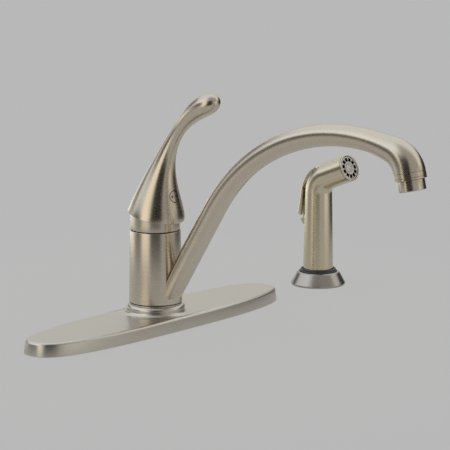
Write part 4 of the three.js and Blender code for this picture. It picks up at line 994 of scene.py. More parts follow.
def sleeve_mesh(sizes):
    lip, lip_depth = 0.0006, 0.0012
    bore = sleeve_bore(sizes)
    top_radius = bore + sizes.sleeve_wall
    top = CAP_LOW.z - SLIT
    return turned("sleeve", softened([
        (bore, SLEEVE_BOTTOM),
        (sleeve_foot_radius(sizes), SLEEVE_BOTTOM, 0.0004),
        (top_radius, top, 0.0004),
        (top_radius - lip, top),
        (top_radius - lip, top - lip_depth),
        (bore, top - lip_depth),
    ], 6), 192)


def arm_mesh(sizes, path):
    """The tube, cut level under its foot and cut back where the post stands."""
    root, map_start = 0.014, 0.02
    half_width, behind, ahead, below = 0.03, 0.03, 0.09, 0.03
    post_space, post_height = 0.0012, 0.12
    straight, crest = path.lengths[:2]
    stations = even(-root, straight, 40) + even(straight, straight + crest, 84)[1:]
    stations += even(straight + crest, path.total, 26)[1:]
    rings = path.rings(stations, lambda distance: spout_section(sizes, path, distance))
    tube = skin("tube", rings, [distance + map_start for distance in stations])
    under = block(
        "under_foot", (-half_width, -ahead, SLEEVE_BOTTOM - below),
        (half_width, behind, SLEEVE_BOTTOM + sizes.foot_rise))
    core = turned("core", cylinder(sleeve_bore(sizes) + post_space, 0, post_height), 192)
    return combined("arm", tube, [("DIFFERENCE", under), ("DIFFERENCE", core)])


def groove_mesh(sizes, number):
    """One of the grooves round the outlet's collar, counted from its end."""
    first, depth, width, overcut = 0.0012, 0.0006, 0.0006, 0.001
    low = -first - sizes.groove_pitch * number - width
    outline = softened([
        (sizes.collar - depth, low + 0.0003, 0.0001),
        (sizes.collar + overcut, low - 0.0003),
        (sizes.collar + overcut, low + 0.0009),
    ], 3)
    return turned("groove", outline, 96, spout_path(sizes).end_place())


def spout_mesh(sizes, aerator):
    """Sleeve and arm as one, bored for the water, with the aerator's socket and the two grooves."""
    overcut, socket_spare, water_wall = 0.001, 0.002, 0.0024
    path = spout_path(sizes)
    depth = aerator.thread + socket_spare
    socket_radius = aerator_thread(aerator) + SEAT_GAP
    socket = turned("socket", cylinder(socket_radius, -depth, overcut), 96, path.end_place())
    stations = even(0.0, path.total - depth + overcut, 60)
    water = skin("water", path.rings(stations, lambda distance: circle(
        min(sizes.bore, spout_radius(sizes, path, distance) - water_wall), 32)), stations)
    return combined("spout_shape", sleeve_mesh(sizes), [
        ("UNION", arm_mesh(sizes, path)),
        ("DIFFERENCE", water),
        ("DIFFERENCE", socket),
        ("DIFFERENCE", groove_mesh(sizes, 0)),
        ("DIFFERENCE", groove_mesh(sizes, 1)),
    ], 30)


# ---------------------------------------------------------------------------
# Aerator
# ---------------------------------------------------------------------------

def aerator_thread(sizes):
    """Radius of the part that goes into the spout."""
    return sizes.radius - AERATOR_SHOULDER


def aerator_bore(sizes):
    return aerator_thread(sizes) - AERATOR_WALL


def aerator_outline(sizes):
    bore = aerator_bore(sizes)
    thread = aerator_thread(sizes)
    lip = bore - 0.001
    return softened([
        (bore, -sizes.thread),
        (thread, -sizes.thread, 0.0003),
        (thread, SEAT_GAP),
        (sizes.radius, SEAT_GAP, 0.0003),
        (sizes.radius, sizes.below, 0.0007),
        (lip, sizes.below, 0.0004),
        (lip, sizes.below - AERATOR_LIP, 0.0002),
        (bore, sizes.below - AERATOR_LIP),
    ], 6)


def aerator_insert_mesh(sizes, place):
    slot_length, slot_width, slot_spare, slot_ring = 0.0034, 0.0009, 0.001, 0.66
    bore = aerator_bore(sizes)
    radius = bore - SEAT_GAP
    low = sizes.below - AERATOR_LIP - SEAT_GAP - sizes.insert
    high = low + sizes.insert
    disc = turned("insert_disc", softened([
        (0, low), (radius, low, 0.0003), (radius, high, 0.0003), (0, high)]), 96)
    disc.transform(Matrix.Translation((0, 0, -high)))
    slotted = through_tree("aerator_insert_shape", disc, tree_for("holes"), {
        "Holes": sizes.slots,
        "Ring radius": bore * slot_ring,
        "Hole size": (slot_length, slot_width, 2 * sizes.insert - slot_spare),
        "Material": MATERIALS["grey_plastic"],
    })
    slotted.transform(place @ Matrix.Translation((0, 0, high)))
    return tidy_mesh(slotted)


# ---------------------------------------------------------------------------
# Bonnet cap and lever
# ---------------------------------------------------------------------------

def pivot_height():
    """The lever's pivot is where the cap's dome starts, on the pin's axis."""
    low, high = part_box("lever_pin")
    return (low.z + high.z) / 2


def cap_outline():
    wall, skirt = 0.0018, 0.004
    radius = CAP_HIGH.x
    inner = radius - wall
    pivot = (0, pivot_height())
    foot = softened([
        (inner, CAP_LOW.z + skirt), (inner, CAP_LOW.z),
        (radius, CAP_LOW.z, 0.0004), (radius, CAP_LOW.z + skirt)])
    return foot + arc(radius, 0, 45, 18, pivot) + arc(inner, 45, 4, 14, pivot)


def lever_place(sizes):
    return along_slope(0, pivot_height(), 90 - math.degrees(sizes.tilt))


def lever_line(sizes, count=400):
    """The lever's middle line as points (forward, up), with its walked distance."""
    pivot = pivot_height()
    tilt = math.degrees(sizes.tilt)
    anchors = np.array([
        (0, pivot),
        (sizes.root_pull * sine(tilt), pivot + sizes.root_pull * cosine(tilt)),
        (sizes.tip_pull_forward, pivot + sizes.tip_pull_rise),
        (sizes.reach, pivot + sizes.rise),
    ])
    t = np.linspace(0, 1, count)[:, None]
    line = ((1 - t) ** 3 * anchors[0] + 3 * (1 - t) ** 2 * t * anchors[1]
            + 3 * (1 - t) * t ** 2 * anchors[2] + t ** 3 * anchors[3])
    walked = np.concatenate(([0.0], np.cumsum(np.linalg.norm(np.diff(line, axis=0), axis=1))))
    return line, walked


def lever_size(sizes, along, total):
    """Half width and half depth at a distance along the lever: dome, waist and rounded tip."""
    rim_fullness, dome_fall, tip_fullness, tip_blend = 1.3, 2.25, 2.4, 0.001
    share = min(along / sizes.waist_along, 1)
    rim = sizes.skirt_inner + sizes.skirt_wall
    waist = sizes.waist + (rim - sizes.waist) * (1 - share ** rim_fullness) ** dome_fall
    swell = ease(along, sizes.waist_along, sizes.knob_along)
    tip_start = sizes.knob_along - tip_blend
    past = max(0.0, (along - tip_start) / (total - tip_start))
    rounding = math.sqrt(max(0.0, 1 - past ** tip_fullness))
    return (
        (waist + (sizes.knob_half_width - sizes.waist) * swell) * rounding,
        (waist + (sizes.knob_half_depth - sizes.waist) * swell) * rounding,
    )


def lever_rings(sizes, facets=112):
    first, half_step = 0.0005, 0.0004
    tip_shares = (0.12, 0.24, 0.35, 0.45, 0.55, 0.64, 0.72, 0.79, 0.85, 0.9, 0.94, 0.97, 0.988, 0.997, 1.0)
    line, walked = lever_line(sizes)
    total = walked[-1]

    def place(distance):
        return np.array([np.interp(distance, walked, line[:, 0]), np.interp(distance, walked, line[:, 1])])

    stations = even(first, sizes.waist_along, 64) + even(sizes.waist_along, sizes.knob_along, 30)[1:]
    stations += [lerp(sizes.knob_along, total, share) for share in tip_shares]
    angles = np.radians(np.arange(facets) * 360 / facets)
    rings = []
    for along in stations:
        forward, up = place(along)
        ahead = min(along + half_step, total)
        behind = max(ahead - 2 * half_step, 0.0)
        tangent = place(ahead) - place(behind)
        tangent /= np.linalg.norm(tangent)
        half_width, half_depth = lever_size(sizes, along, total)
        set_forward = sizes.front_bulge * (1 - ease(along, 0, sizes.waist_along))
        lift = half_depth * np.cos(angles) - set_forward
        rings.append(np.column_stack((
            half_width * np.sin(angles),
            -(forward - lift * tangent[1]),
            up + lift * tangent[0],
        )))
    return rings, stations


def lever_outer(sizes):
    """The lever without its hollow, with the lower edge of its rim drawn in a little."""
    rim_round, drop, map_step = 0.0004, 0.3, 0.0005
    rings, stations = lever_rings(sizes)
    centre = rings[0].mean(axis=0)
    rim = rings[0] - centre
    lower = centre + rim * (1 - rim_round / sizes.skirt_inner) - (rings[1].mean(axis=0) - centre) * drop
    return skin("lever_outer", [lower, *rings], [stations[0] - map_step, *stations])


def forward_bar(name, sizes, side, back, radius, facets):
    """A bar at the button's height from a place inside the lever out past its front."""
    past_the_front = -0.04
    height = pivot_height() + sizes.button_rise
    return round_bar(name, (side, back, height), (side, past_the_front, height), radius, facets)


def lever_mesh(sizes):
    """The lever, hollow over the cap's dome, with the seats of its spindle and its button."""
    below, flare, rim_flare, rim_height = 0.002, 0.0006, 0.0004, 0.0001
    socket, socket_floor = 0.0064, 0.0125
    spindle, spindle_top = 0.0036, 0.0246
    inner = sizes.skirt_inner
    hollow = [(0, -below), (inner + flare, -below), (inner + rim_flare, rim_height)]
    hollow += arc(inner, 4, 72, 22)
    hollow += softened([
        (socket, math.sqrt(inner ** 2 - socket ** 2)), (socket, socket_floor), (spindle, socket_floor),
        (spindle, spindle_top + SEAT_GAP), (0, spindle_top + SEAT_GAP)])
    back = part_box("temperature_button")[1].y + SEAT_GAP
    pocket = forward_bar("pocket", sizes, 0, back, sizes.button_radius + SEAT_GAP, 72)
    return combined("lever_shape", lever_outer(sizes), [
        ("DIFFERENCE", turned("lever_hollow", hollow, 112, lever_place(sizes))),
        ("DIFFERENCE", pocket),
    ], 28)


def button_parts(sizes):
    """The button and its two marks, all cut flush with the lever's front."""
    mark_gap = 0.00005
    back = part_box("temperature_button")[1].y
    mark_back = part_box("hot_dot")[1].y
    plug = forward_bar("plug", sizes, 0, back, sizes.button_radius - SEAT_GAP, 72)
    steps = [("INTERSECT", lever_outer(sizes))]
    marks = []
    for side in (-sizes.dot_offset, sizes.dot_offset):
        seat = forward_bar("dot_hole", sizes, side, mark_back + mark_gap, sizes.dot_radius + mark_gap, 32)
        steps.append(("DIFFERENCE", seat))
        mark = forward_bar("dot", sizes, side, mark_back, sizes.dot_radius, 32)
        marks.append(combined("dot_shape", mark, [("INTERSECT", lever_outer(sizes))]))
    return combined("button_shape", plug, steps, 30), marks


# ---------------------------------------------------------------------------
# Side spray
# ---------------------------------------------------------------------------

def holder_outline(sizes):
    recess, recess_height = 0.0026, 0.0018
    shelf_low, shelf_high = 0.007, 0.009
    shelf = sizes.body + 0.0018
    radius = HOLDER_HIGH.x - SPRAY_X
    top = HOLDER_HIGH.z
    return softened([
        (radius - recess, 0.0),
        (radius - 0.0004, 0.0, 0.0006),
        (radius, 0.0014, 0.0012),
        (sizes.holder_top + 0.0003, top - 0.0006, 0.0012),
        (sizes.holder_top - 0.0008, top, 0.0005),
        (sizes.holder_mouth, top - 0.0001, 0.0004),
        (sizes.holder_mouth, shelf_high),
        (shelf, shelf_high),
        (shelf, shelf_low),
        (sizes.holder_mouth + 0.0002, shelf_low),
        (radius - 0.004, recess_height),
        (radius - recess, recess_height),
    ], 6)


def guide_outline(sizes):
    foot, shelf = 0.0004, 0.0093
    bore = sizes.body + 0.0004
    sleeve = bore + 0.0011
    mouth = sizes.holder_mouth - SEAT_GAP
    lip = sizes.holder_mouth - 0.0010
    rim = HOLDER_HIGH.z
    top = rim + sizes.ring_rise
    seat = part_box("spray_hose_nipple")[1].x - SPRAY_X + 0.0026
    return softened([
        (seat, foot),
        (sleeve, foot, 0.0003),
        (sleeve, shelf),
        (mouth, shelf),
        (mouth, rim + 0.0005, 0.0008),
        (lip, rim + 0.0011, 0.0004),
        (lip, rim + 0.0021, 0.0006),
        (bore + 0.0007, top, 0.0005),
        (bore, top, 0.0003),
        (bore, sizes.foot - SEAT_GAP),
        (seat, sizes.foot - SEAT_GAP),
    ], 5)


def wand_path(sizes):
    return MiddlePath(0.0, sizes.foot, 90, [
        {"length": sizes.bend_start - sizes.foot},
        {"radius": sizes.bend_radius, "to_slope": math.degrees(sizes.neck_slope)},
        {"length": sizes.neck_length},
    ])


def wand_radius(sizes, path, distance):
    """The wand slims to its bend and along it, and its lower edge is rounded."""
    edge = 0.0012
    body, bend = path.lengths[:2]
    low = lerp(sizes.body, sizes.body_top, min(distance / body, 1))
    radius = lerp(low, sizes.neck, ease(distance, body, body + bend))
    short = max(0.0, edge - distance)
    return radius - (edge - math.sqrt(edge ** 2 - short ** 2))


def wand_back(sizes):
    return sizes.bend_radius + sizes.body_top


def around_bend(sizes, radius, angle):
    """(forward, up) round the bend's centre, angle in degrees from straight back."""
    return sizes.bend_radius - radius * cosine(angle), sizes.bend_start + radius * sine(angle)


def back_to(sizes, angle):
    """Distance along the wand's back from where the bend starts to an angle round the bend."""
    return math.radians(angle) * wand_back(sizes)


def back_strip(name, sizes, low, high, section, count):
    """A strip that follows the wand's back. Distances along it are negative below the bend.
    The section gives (side, off) pairs by the distance, off being outward from the back."""
    back = wand_back(sizes)
    rings = []
    stations = even(low, high, count)
    for along in stations:
        ring = []
        for side, off in section(along):
            if along < 0:
                forward, up = -sizes.body_top - off, sizes.bend_start + along
            else:
                forward, up = around_bend(sizes, back + off, math.degrees(along / back))
            ring.append((side, -forward, up))
        rings.append(np.array(ring))
    return skin(name, rings, [along - low for along in stations])


def squared(half_width, low, high, crown, corner, count):
    """A rectangle of (side, off) with rounded corners and a crowned outer face."""
    shoulder = half_width * 0.5
    shoulder_height = high - crown * 0.22
    return softened([
        (-half_width, low),
        (half_width, low),
        (half_width, high - crown, corner),
        (shoulder, shoulder_height, 0.004),
        (-shoulder, shoulder_height, 0.004),
        (-half_width, high - crown, corner),
    ], count)


def wand_tube(sizes, path):
    """The wand's round body, swept by its node tree along the wand's middle line."""
    body, bend = path.lengths[:2]
    stations = [0.0, 0.0003, 0.0008, 0.0015] + even(0.003, body, 24) + even(body, body + bend, 40)[1:]
    stations += even(body + bend, path.total, 14)[1:]
    places = [middle_point(*path.at(distance)[:2]) for distance in stations]
    line = bpy.data.meshes.new("wand_line")
    line.from_pydata(places, [(i, i + 1) for i in range(len(places) - 1)], [])
    layer = line.attributes.new("tube_radius", "FLOAT", "POINT")
    layer.data.foreach_set("value", [wand_radius(sizes, path, distance) for distance in stations])
    return tidy_mesh(through_tree("wand_tube", line, tree_for("tube"), {
        "Facets": 112,
        "Girth": 2 * math.pi * sizes.body,
        "Material": MATERIALS["spray"],
    }))


def wand_stop(sizes):
    """The raised stop on the wand's back, which runs out under the trigger."""
    half = sizes.trigger_width / 2 - 0.0021
    sunk, ledge, run_out = 0.004, 0.0022, 0.0002
    low = sizes.stop_low - sizes.bend_start
    high = sizes.trigger_low - sizes.bend_start - sizes.stop_gap

    def height(along):
        if along <= high:
            return min(sizes.stop_standoff, along - low)
        return lerp(ledge, run_out, ease(along, high, 0.0))

    return back_strip(
        "stop", sizes, low, 0.001, lambda along: squared(half, -sunk, height(along), 0.0006, 0.0005, 3), 96)


def trigger_pocket(sizes):
    """What the wand's back loses under the trigger, deeper towards its pin."""
    start = -0.001
    shallow, deep = 0.002, 0.0058
    half = sizes.trigger_width / 2 + SEAT_GAP
    end = back_to(sizes, math.degrees(sizes.trigger_top)) + 0.0007
    full = back_to(sizes, 35)
    return back_strip("pocket", sizes, start, end, lambda along: squared(
        half, -lerp(shallow, deep, ease(along, start, full)), sizes.standoff, 0.0, 0.0, 8), 40)


def face_chamber(sizes, path):
    """The stepped hollow in the wand's end for its face and rim."""
    radius = sizes.neck - sizes.bezel
    waterway, past = radius - 0.0012, sizes.neck + 0.002
    floor, face_seat, rim_seat, overcut = -0.009, -0.0047, -0.0014, 0.002
    return turned("chamber", [
        (0, floor), (waterway, floor), (waterway, face_seat), (radius, face_seat), (radius, rim_seat),
        (past, rim_seat), (past, overcut), (0, overcut)], 96, path.end_place())


def trigger_pin_place():
    """The pin's middle, with the wand standing on the origin."""
    low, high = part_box("trigger_pin")
    return (low + high) / 2 - SPRAY_PLACE.translation


def pin_bar(name, half_length, radius):
    """A bar across the wand on the trigger pin's axis."""
    _, y, z = trigger_pin_place()
    return round_bar(name, (-half_length, y, z), (half_length, y, z), radius)


def wand_mesh(sizes):
    """The wand's tube with its stop, cut for the trigger, its spring and pin, the face, the hose's
    nipple and the plunger."""
    nipple_radius, nipple_depth = 0.0063, 0.017
    plunger_radius, plunger_depth = 0.0024, 0.03
    spring_radius, spring_half = 0.0033, 0.0027
    half = sizes.trigger_width / 2
    path = wand_path(sizes)
    nipple_socket = turned("nipple_socket", cylinder(nipple_radius, 0, nipple_depth), 64)
    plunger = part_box("valve_plunger")
    height = (plunger[0].z + plunger[1].z) / 2
    plunger_bore = round_bar("plunger_bore", (0, 0.0, height), (0, plunger_depth, height), plunger_radius)
    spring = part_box("trigger_spring")
    spring_slot = block(
        "spring_slot", (-spring_half, spring[0].y - SPRAY_Y - 0.0003, spring[0].z - 0.0005),
        (spring_half, spring[1].y - SPRAY_Y + 0.002, trigger_pin_place().z))
    mesh = combined("wand_shape", wand_tube(sizes, path), [
        ("DIFFERENCE", trigger_pocket(sizes)),
        ("UNION", wand_stop(sizes)),
        ("DIFFERENCE", pin_bar("spring_pocket", spring_half, spring_radius)),
        ("DIFFERENCE", spring_slot),
        ("DIFFERENCE", pin_bar("pin_bore", half + 0.003, TRIGGER_PIN_BORE)),
        ("DIFFERENCE", face_chamber(sizes, path)),
        ("DIFFERENCE", nipple_socket),
        ("DIFFERENCE", plunger_bore),
    ], 30)
    mesh.transform(SPRAY_PLACE)
    return mesh


def trigger_mesh(sizes):
    """A channel-shaped lever with rounded ends and a crowned outer face."""
    web, side_wall = 0.0013, 0.0017
    low_round, high_round, round_fullness = 0.0036, 0.003, 2.4
    end_width, end_height = 0.6, 0.55
    crown, edge_round = 0.0012, 0.0013
    channel_round, channel_rise, overcut = 0.0009, 0.0006, 0.004
    low_end = sizes.trigger_low - sizes.bend_start
    high_end = back_to(sizes, math.degrees(sizes.trigger_top))
    side_full = back_to(sizes, 45)
    half = sizes.trigger_width / 2
    channel_half = half - side_wall

    def outer(along):
        share = min(max((along - low_end) / (high_end - low_end), 0.0), 1.0)
        return sizes.standoff * (1 - share) ** sizes.lean

    def inner(along):
        if along < 0:
            return lerp(sizes.side_low, sizes.side_bend, min((along - low_end) / -low_end, 1.0))
        return lerp(sizes.side_bend, sizes.side_pin, ease(along, 0.0, side_full))

    def outer_section(along):
        end = 1.0
        for past, reach in ((along - low_end, low_round), (high_end - along, high_round)):
            end = min(end, math.sqrt(max(0.0, 1 - max(0.0, 1 - past / reach) ** round_fullness)))
        low = inner(along)
        high = low + (outer(along) - low) * lerp(end_height, 1.0, end)
        return squared(half * lerp(end_width, 1.0, end), low, high, crown, edge_round, 6)

    def channel_section(along):
        low = inner(along) - overcut
        high = outer(along) - web
        shoulder = high - channel_rise
        top_half = channel_half - channel_round
        return [
            (-channel_half, low), (channel_half, low), (channel_half, shoulder),
            (top_half, high), (-top_half, high), (-channel_half, shoulder),
        ]

    strip = back_strip("trigger_outer", sizes, low_end, high_end, outer_section, 84)
    channel = back_strip(
        "trigger_channel", sizes, low_end - 0.001, high_end - side_wall, channel_section, 48)
    mesh = combined("trigger_shape", strip, [
        ("DIFFERENCE", channel),
        ("DIFFERENCE", pin_bar("pin_hole", half + 0.002, TRIGGER_PIN_BORE)),
    ], 30)
    mesh.transform(SPRAY_PLACE)
    return mesh


def bezel_outline(sizes):
    low = -0.0011
    inner = sizes.neck - sizes.bezel
    return softened([
        (inner, low), (sizes.neck, low, 0.0002), (sizes.neck, 0.0, 0.0005), (inner, 0.0, 0.0003)], 6)


def face_mesh(sizes):
    """The face with its holes. The attribute "inside" is 1 on what lies below its front within the ring of
    holes, which its material paints near black as shade.
    """
    low = -0.0044
    step, step_depth, well_depth = 0.0011, 0.0009, 0.0024
    radius = sizes.neck - sizes.bezel - SEAT_GAP
    well = sizes.button + SEAT_GAP
    disc = turned("face_disc", softened([
        (0, low),
        (radius, low),
        (radius, FACE_TOP, 0.0005),
        (sizes.button + 0.0016, FACE_TOP, 0.0003),
        (sizes.button + step, FACE_TOP - step_depth, 0.0002),
        (well, FACE_TOP - step_depth),
        (well, FACE_TOP - well_depth),
        (0, FACE_TOP - well_depth),
    ]), 128)
    face = through_tree("spray_face_shape", disc, tree_for("holes"), {
        "Holes": sizes.holes,
        "Ring radius": sizes.hole_ring,
        "Hole size": (sizes.hole_size, sizes.hole_size, 0.02),
        "Material": MATERIALS["spray_face"],
    })
    ring_inner, ring_outer = sizes.button + 0.0013, radius - 0.0008
    # Marks the holes' walls for the painted shade of the face's material.
    inside = face.attributes.new("inside", "FLOAT", "POINT")
    for vertex, value in zip(face.vertices, inside.data):
        in_ring = ring_inner < math.hypot(vertex.co.x, vertex.co.y) < ring_outer
        value.value = 1.0 if in_ring and vertex.co.z < FACE_TOP - 0.0003 else 0.0
    return face


def face_button_outline(sizes):
    dome = 0.006
    dome_top = FACE_TOP + 0.0001
    low = FACE_TOP - 0.0021
    side = softened([(0, low), (sizes.button, low), (sizes.button, FACE_TOP - 0.0005, 0.0004)])
    return side + arc(dome, 58, 90, 10, (0, dome_top - dome))


# ---------------------------------------------------------------------------
# Operators
# ---------------------------------------------------------------------------

class PieceOperator:
    """What the operators share."""
    bl_options = {"REGISTER", "UNDO"}


class FAUCET_OT_finishes(PieceOperator, bpy.types.Operator):
    """Make the materials and give each CAD node the one of its slot"""
    bl_idname = "faucet.finishes"
    bl_label = "Finishes"

    def execute(self, context):
        MATERIALS.update(make_materials(context.scene.faucet_finishes))
        for part in frame["record"]["subparts"]:
            name = part["node"]
            if name not in NODES or part["material_slot"] not in MATERIALS:
                raise RuntimeError(f"{name} has no finish")
            mesh = NODES[name].data
            material = MATERIALS[part["material_slot"]]
            if not mesh.materials:
                mesh.materials.append(material)
            for slot in range(len(mesh.materials)):
                mesh.materials[slot] = material
        return {"FINISHED"}


class FAUCET_OT_plate(PieceOperator, bpy.types.Operator):
    """Build the deck plate with its collar"""
    bl_idname = "faucet.plate"
    bl_label = "Deck plate"

    def execute(self, context):
        mesh = plate_mesh(context.scene.faucet_plate, context.scene.faucet_spout)
        dress("deck_plate", mesh, "plate", "base")
        return {"FINISHED"}


class FAUCET_OT_spout(PieceOperator, bpy.types.Operator):
    """Build the spout with its sleeve"""
    bl_idname = "faucet.spout"
    bl_label = "Spout"

    def execute(self, context):
        mesh = spout_mesh(context.scene.faucet_spout, context.scene.faucet_aerator)
        dress("spout", mesh, "nickel", "spout_assembly")
        return {"FINISHED"}


class FAUCET_OT_aerator(PieceOperator, bpy.types.Operator):
    """Build the aerator's housing and its slotted insert"""
    bl_idname = "faucet.aerator"
    bl_label = "Aerator"

    def execute(self, context):
        sizes = context.scene.faucet_aerator
        place = spout_path(context.scene.faucet_spout).end_place()
        housing = turned("aerator_shape", aerator_outline(sizes), 128, place)
        dress("aerator_housing", housing, "nickel", "spout_assembly")
        insert = aerator_insert_mesh(sizes, place)
        dress("aerator_insert", insert, "grey_plastic", "spout_assembly")
        return {"FINISHED"}


class FAUCET_OT_lever(PieceOperator, bpy.types.Operator):
    """Build the bonnet cap, the lever and its temperature button"""
    bl_idname = "faucet.lever"
    bl_label = "Lever"

    def execute(self, context):
        sizes = context.scene.faucet_lever
        dress("bonnet_cap", turned("bonnet_cap_shape", cap_outline(), 160), "cap", "base")
        dress("lever_handle", lever_mesh(sizes), "nickel", "lever_assembly")
        button, (hot, cold) = button_parts(sizes)
        dress("temperature_button", button, "brushed_nickel", "lever_assembly")
        dress("hot_dot", hot, "hot_mark", "lever_assembly")
        dress("cold_dot", cold, "cold_mark", "lever_assembly")
        return {"FINISHED"}


class FAUCET_OT_spray_holder(PieceOperator, bpy.types.Operator):
    """Build the spray's holder and its guide ring"""
    bl_idname = "faucet.spray_holder"
    bl_label = "Spray holder"

    def execute(self, context):
        sizes = context.scene.faucet_spray
        holder = turned("spray_holder_shape", holder_outline(sizes), 144, SPRAY_PLACE)
        dress("spray_holder", holder, "holder", "base")
        guide = turned("guide_ring_shape", guide_outline(sizes), 128, SPRAY_PLACE)
        dress("spray_guide_ring", guide, "black_plastic", "base")
        return {"FINISHED"}


class FAUCET_OT_spray_wand(PieceOperator, bpy.types.Operator):
    """Build the spray's wand and its trigger"""
    bl_idname = "faucet.spray_wand"
    bl_label = "Spray wand"

    def execute(self, context):
        sizes = context.scene.faucet_spray
        dress("spray_wand", wand_mesh(sizes), "spray", "wand_assembly")
        dress("spray_trigger", trigger_mesh(sizes), "spray", "trigger_lever")
        return {"FINISHED"}


class FAUCET_OT_spray_face(PieceOperator, bpy.types.Operator):
    """Build the spray's rim, its face with the holes and the button in the middle"""
    bl_idname = "faucet.spray_face"
    bl_label = "Spray face"

    def execute(self, context):
        sizes = context.scene.faucet_spray
        place = SPRAY_PLACE @ wand_path(sizes).end_place()
        rim = turned("bezel_shape", bezel_outline(sizes), 128, place)
        dress("spray_bezel", rim, "spray", "wand_assembly")
        face = face_mesh(sizes)
        face.transform(place)
        dress("spray_face", tidy_mesh(face), "spray_face", "wand_assembly")
        button = turned("face_button_shape", face_button_outline(sizes), 96, place)
        dress("spray_face_button", button, "pale_plastic", "wand_assembly")
        return {"FINISHED"}


class FAUCET_OT_studio(PieceOperator, bpy.types.Operator):
    """Set up the floor, the dark card, the room's light and the camera"""
    bl_idname = "faucet.studio"
    bl_label = "Studio"

    def execute(self, context):
        studio = context.scene.faucet_studio
        add_floor(studio)
        add_dark_card(studio)
        add_world(studio)
        add_camera(studio)
        return {"FINISHED"}


# ---------------------------------------------------------------------------
# Studio
# ---------------------------------------------------------------------------

def even_grey(tree, rays, lit, grey, output, share=None):
    """Lets some kinds of ray see an even grey, or a share of it, and all else the lit shader."""
    path = node(tree, "ShaderNodeLightPath")
    seen = path.outputs[rays[0]]
    for kind in rays[1:]:
        seen = arithmetic(tree, "MAXIMUM", seen, path.outputs[kind])
    if share is not None:
        seen = arithmetic(tree, "MULTIPLY", seen, share)
    mix = node(tree, "ShaderNodeMixShader")
    tree.links.new(seen, mix.inputs["Fac"])
    tree.links.new(lit, mix.inputs[1])
    tree.links.new(grey, mix.inputs[2])
    tree.links.new(mix.outputs["Shader"], output)


def flat_piece(name, corners, material):
    """A piece of a single face, shown in the scene."""
    mesh = bpy.data.meshes.new(name)
    mesh.from_pydata([tuple(corner) for corner in corners], [], [tuple(range(len(corners)))])
    piece = shown(name, mesh, material)
    return piece


def add_floor(studio):
    """The floor, which fades into the backdrop's grey towards its edge."""
    fade_start, middle_share = 0.6, 0.93
    rim = [
        (studio.floor_reach * math.cos(turn), studio.floor_reach * math.sin(turn), 0)
        for turn in np.linspace(0, 2 * math.pi, 96, endpoint=False)
    ]
    material, tree, surface = new_material("Pale floor")
    surface.inputs["Base Color"].default_value = (*studio.floor, 1)
    surface.inputs["Roughness"].default_value = 0.9
    surface.inputs["Specular IOR Level"].default_value = 0.0
    reach = node(tree, "ShaderNodeVectorMath", operation="LENGTH")
    tree.links.new(node(tree, "ShaderNodeTexCoord").outputs["Object"], reach.inputs[0])
    share = ranged(
        tree, reach.outputs["Value"], studio.floor_reach * fade_start, studio.floor_reach,
        middle_share, 1.0, soft=True)
    grey = node(tree, "ShaderNodeEmission")
    grey.inputs["Color"].default_value = (*studio.backdrop, 1)
    even_grey(
        tree, ("Is Camera Ray", "Is Glossy Ray", "Is Transmission Ray"), surface.outputs["BSDF"],
        grey.outputs["Emission"], tree.nodes["Material Output"].inputs["Surface"], share)
    flat_piece("floor", rim, material)


def add_dark_card(studio):
    """A dark card between the camera and the faucet. Only the metal sees it, as its dark bands."""
    out = towards(studio, studio.card_turn, 0)
    middle = out * studio.card_distance
    along = Vector((0, 0, 1)).cross(out) * studio.card_width / 2
    low, high = Vector((0, 0, 0.001)), Vector((0, 0, studio.card_height))
    corners = [middle - along + low, middle + along + low, middle + along + high, middle - along + high]
    material, _, surface = new_material("Dark card")
    surface.inputs["Base Color"].default_value = (0.01, 0.01, 0.01, 1)
    surface.inputs["Roughness"].default_value = 1.0
    surface.inputs["Specular IOR Level"].default_value = 0.0
    card = flat_piece("dark_card", corners, material)
    card.visible_camera = card.visible_diffuse = card.visible_shadow = False


def towards(studio, turn, elevation):
    """A direction by its turn to the right of the camera's side and its height, in degrees."""
    azimuth = studio.azimuth + math.radians(turn)
    level = cosine(elevation)
    return Vector((math.sin(azimuth) * level, -math.cos(azimuth) * level, sine(elevation)))


def dot_with(tree, direction, axis):
    made = node(tree, "ShaderNodeVectorMath", operation="DOT_PRODUCT")
    made.inputs[1].default_value = axis
    tree.links.new(direction, made.inputs[0])
    return made.outputs["Value"]


def glow(tree, direction, middle, half_width, half_height, softness):
    """1 inside an oval patch of the sky, falling softly to 0 outside it."""
    same_side = 0.5
    level = Vector((0, 0, 1)).cross(middle).normalized()
    upright = middle.cross(level)
    reach = []
    for axis, half in ((level, half_width), (upright, half_height)):
        off_middle = arithmetic(tree, "ABSOLUTE", dot_with(tree, direction, axis / sine(half)))
        reach.append(arithmetic(tree, "POWER", off_middle, 2))
    total = arithmetic(tree, "ADD", *reach)
    fade = ranged(tree, total, 1 - softness, 1 + softness, 1, 0, soft=True)
    facing = arithmetic(tree, "GREATER_THAN", dot_with(tree, direction, middle), same_side)
    return arithmetic(tree, "MULTIPLY", fade, facing)


# Soft patches of the room: turn and elevation of the middle, half width, half height, softness, colour.
ROOM_PATCHES = (
    (-115, 46, 58, 33, 0.5, (1.14, 1.20, 1.30)),
    (178, 62, 70, 34, 0.6, (0.90, 0.94, 1.00)),
    (176, 16, 44, 14, 0.6, (0.66, 0.65, 0.62)),
    (-48, 6, 21, 28, 0.6, (1.30, 1.19, 1.02)),
    (62, -6, 16, 20, 0.6, (0.95, 0.88, 0.78)),
    (98, 26, 19, 21, 0.6, (0.95, 0.92, 0.88)),
    (126, 2, 32, 20, 0.5, (0.02, 0.02, 0.02)),
    (-82, 5, 21, 12, 0.6, (0.05, 0.05, 0.05)),
    (-138, 17, 20, 9, 0.6, (0.10, 0.10, 0.11)),
    (-142, -7, 34, 9, 0.6, (1.50, 1.45, 1.35)),
)


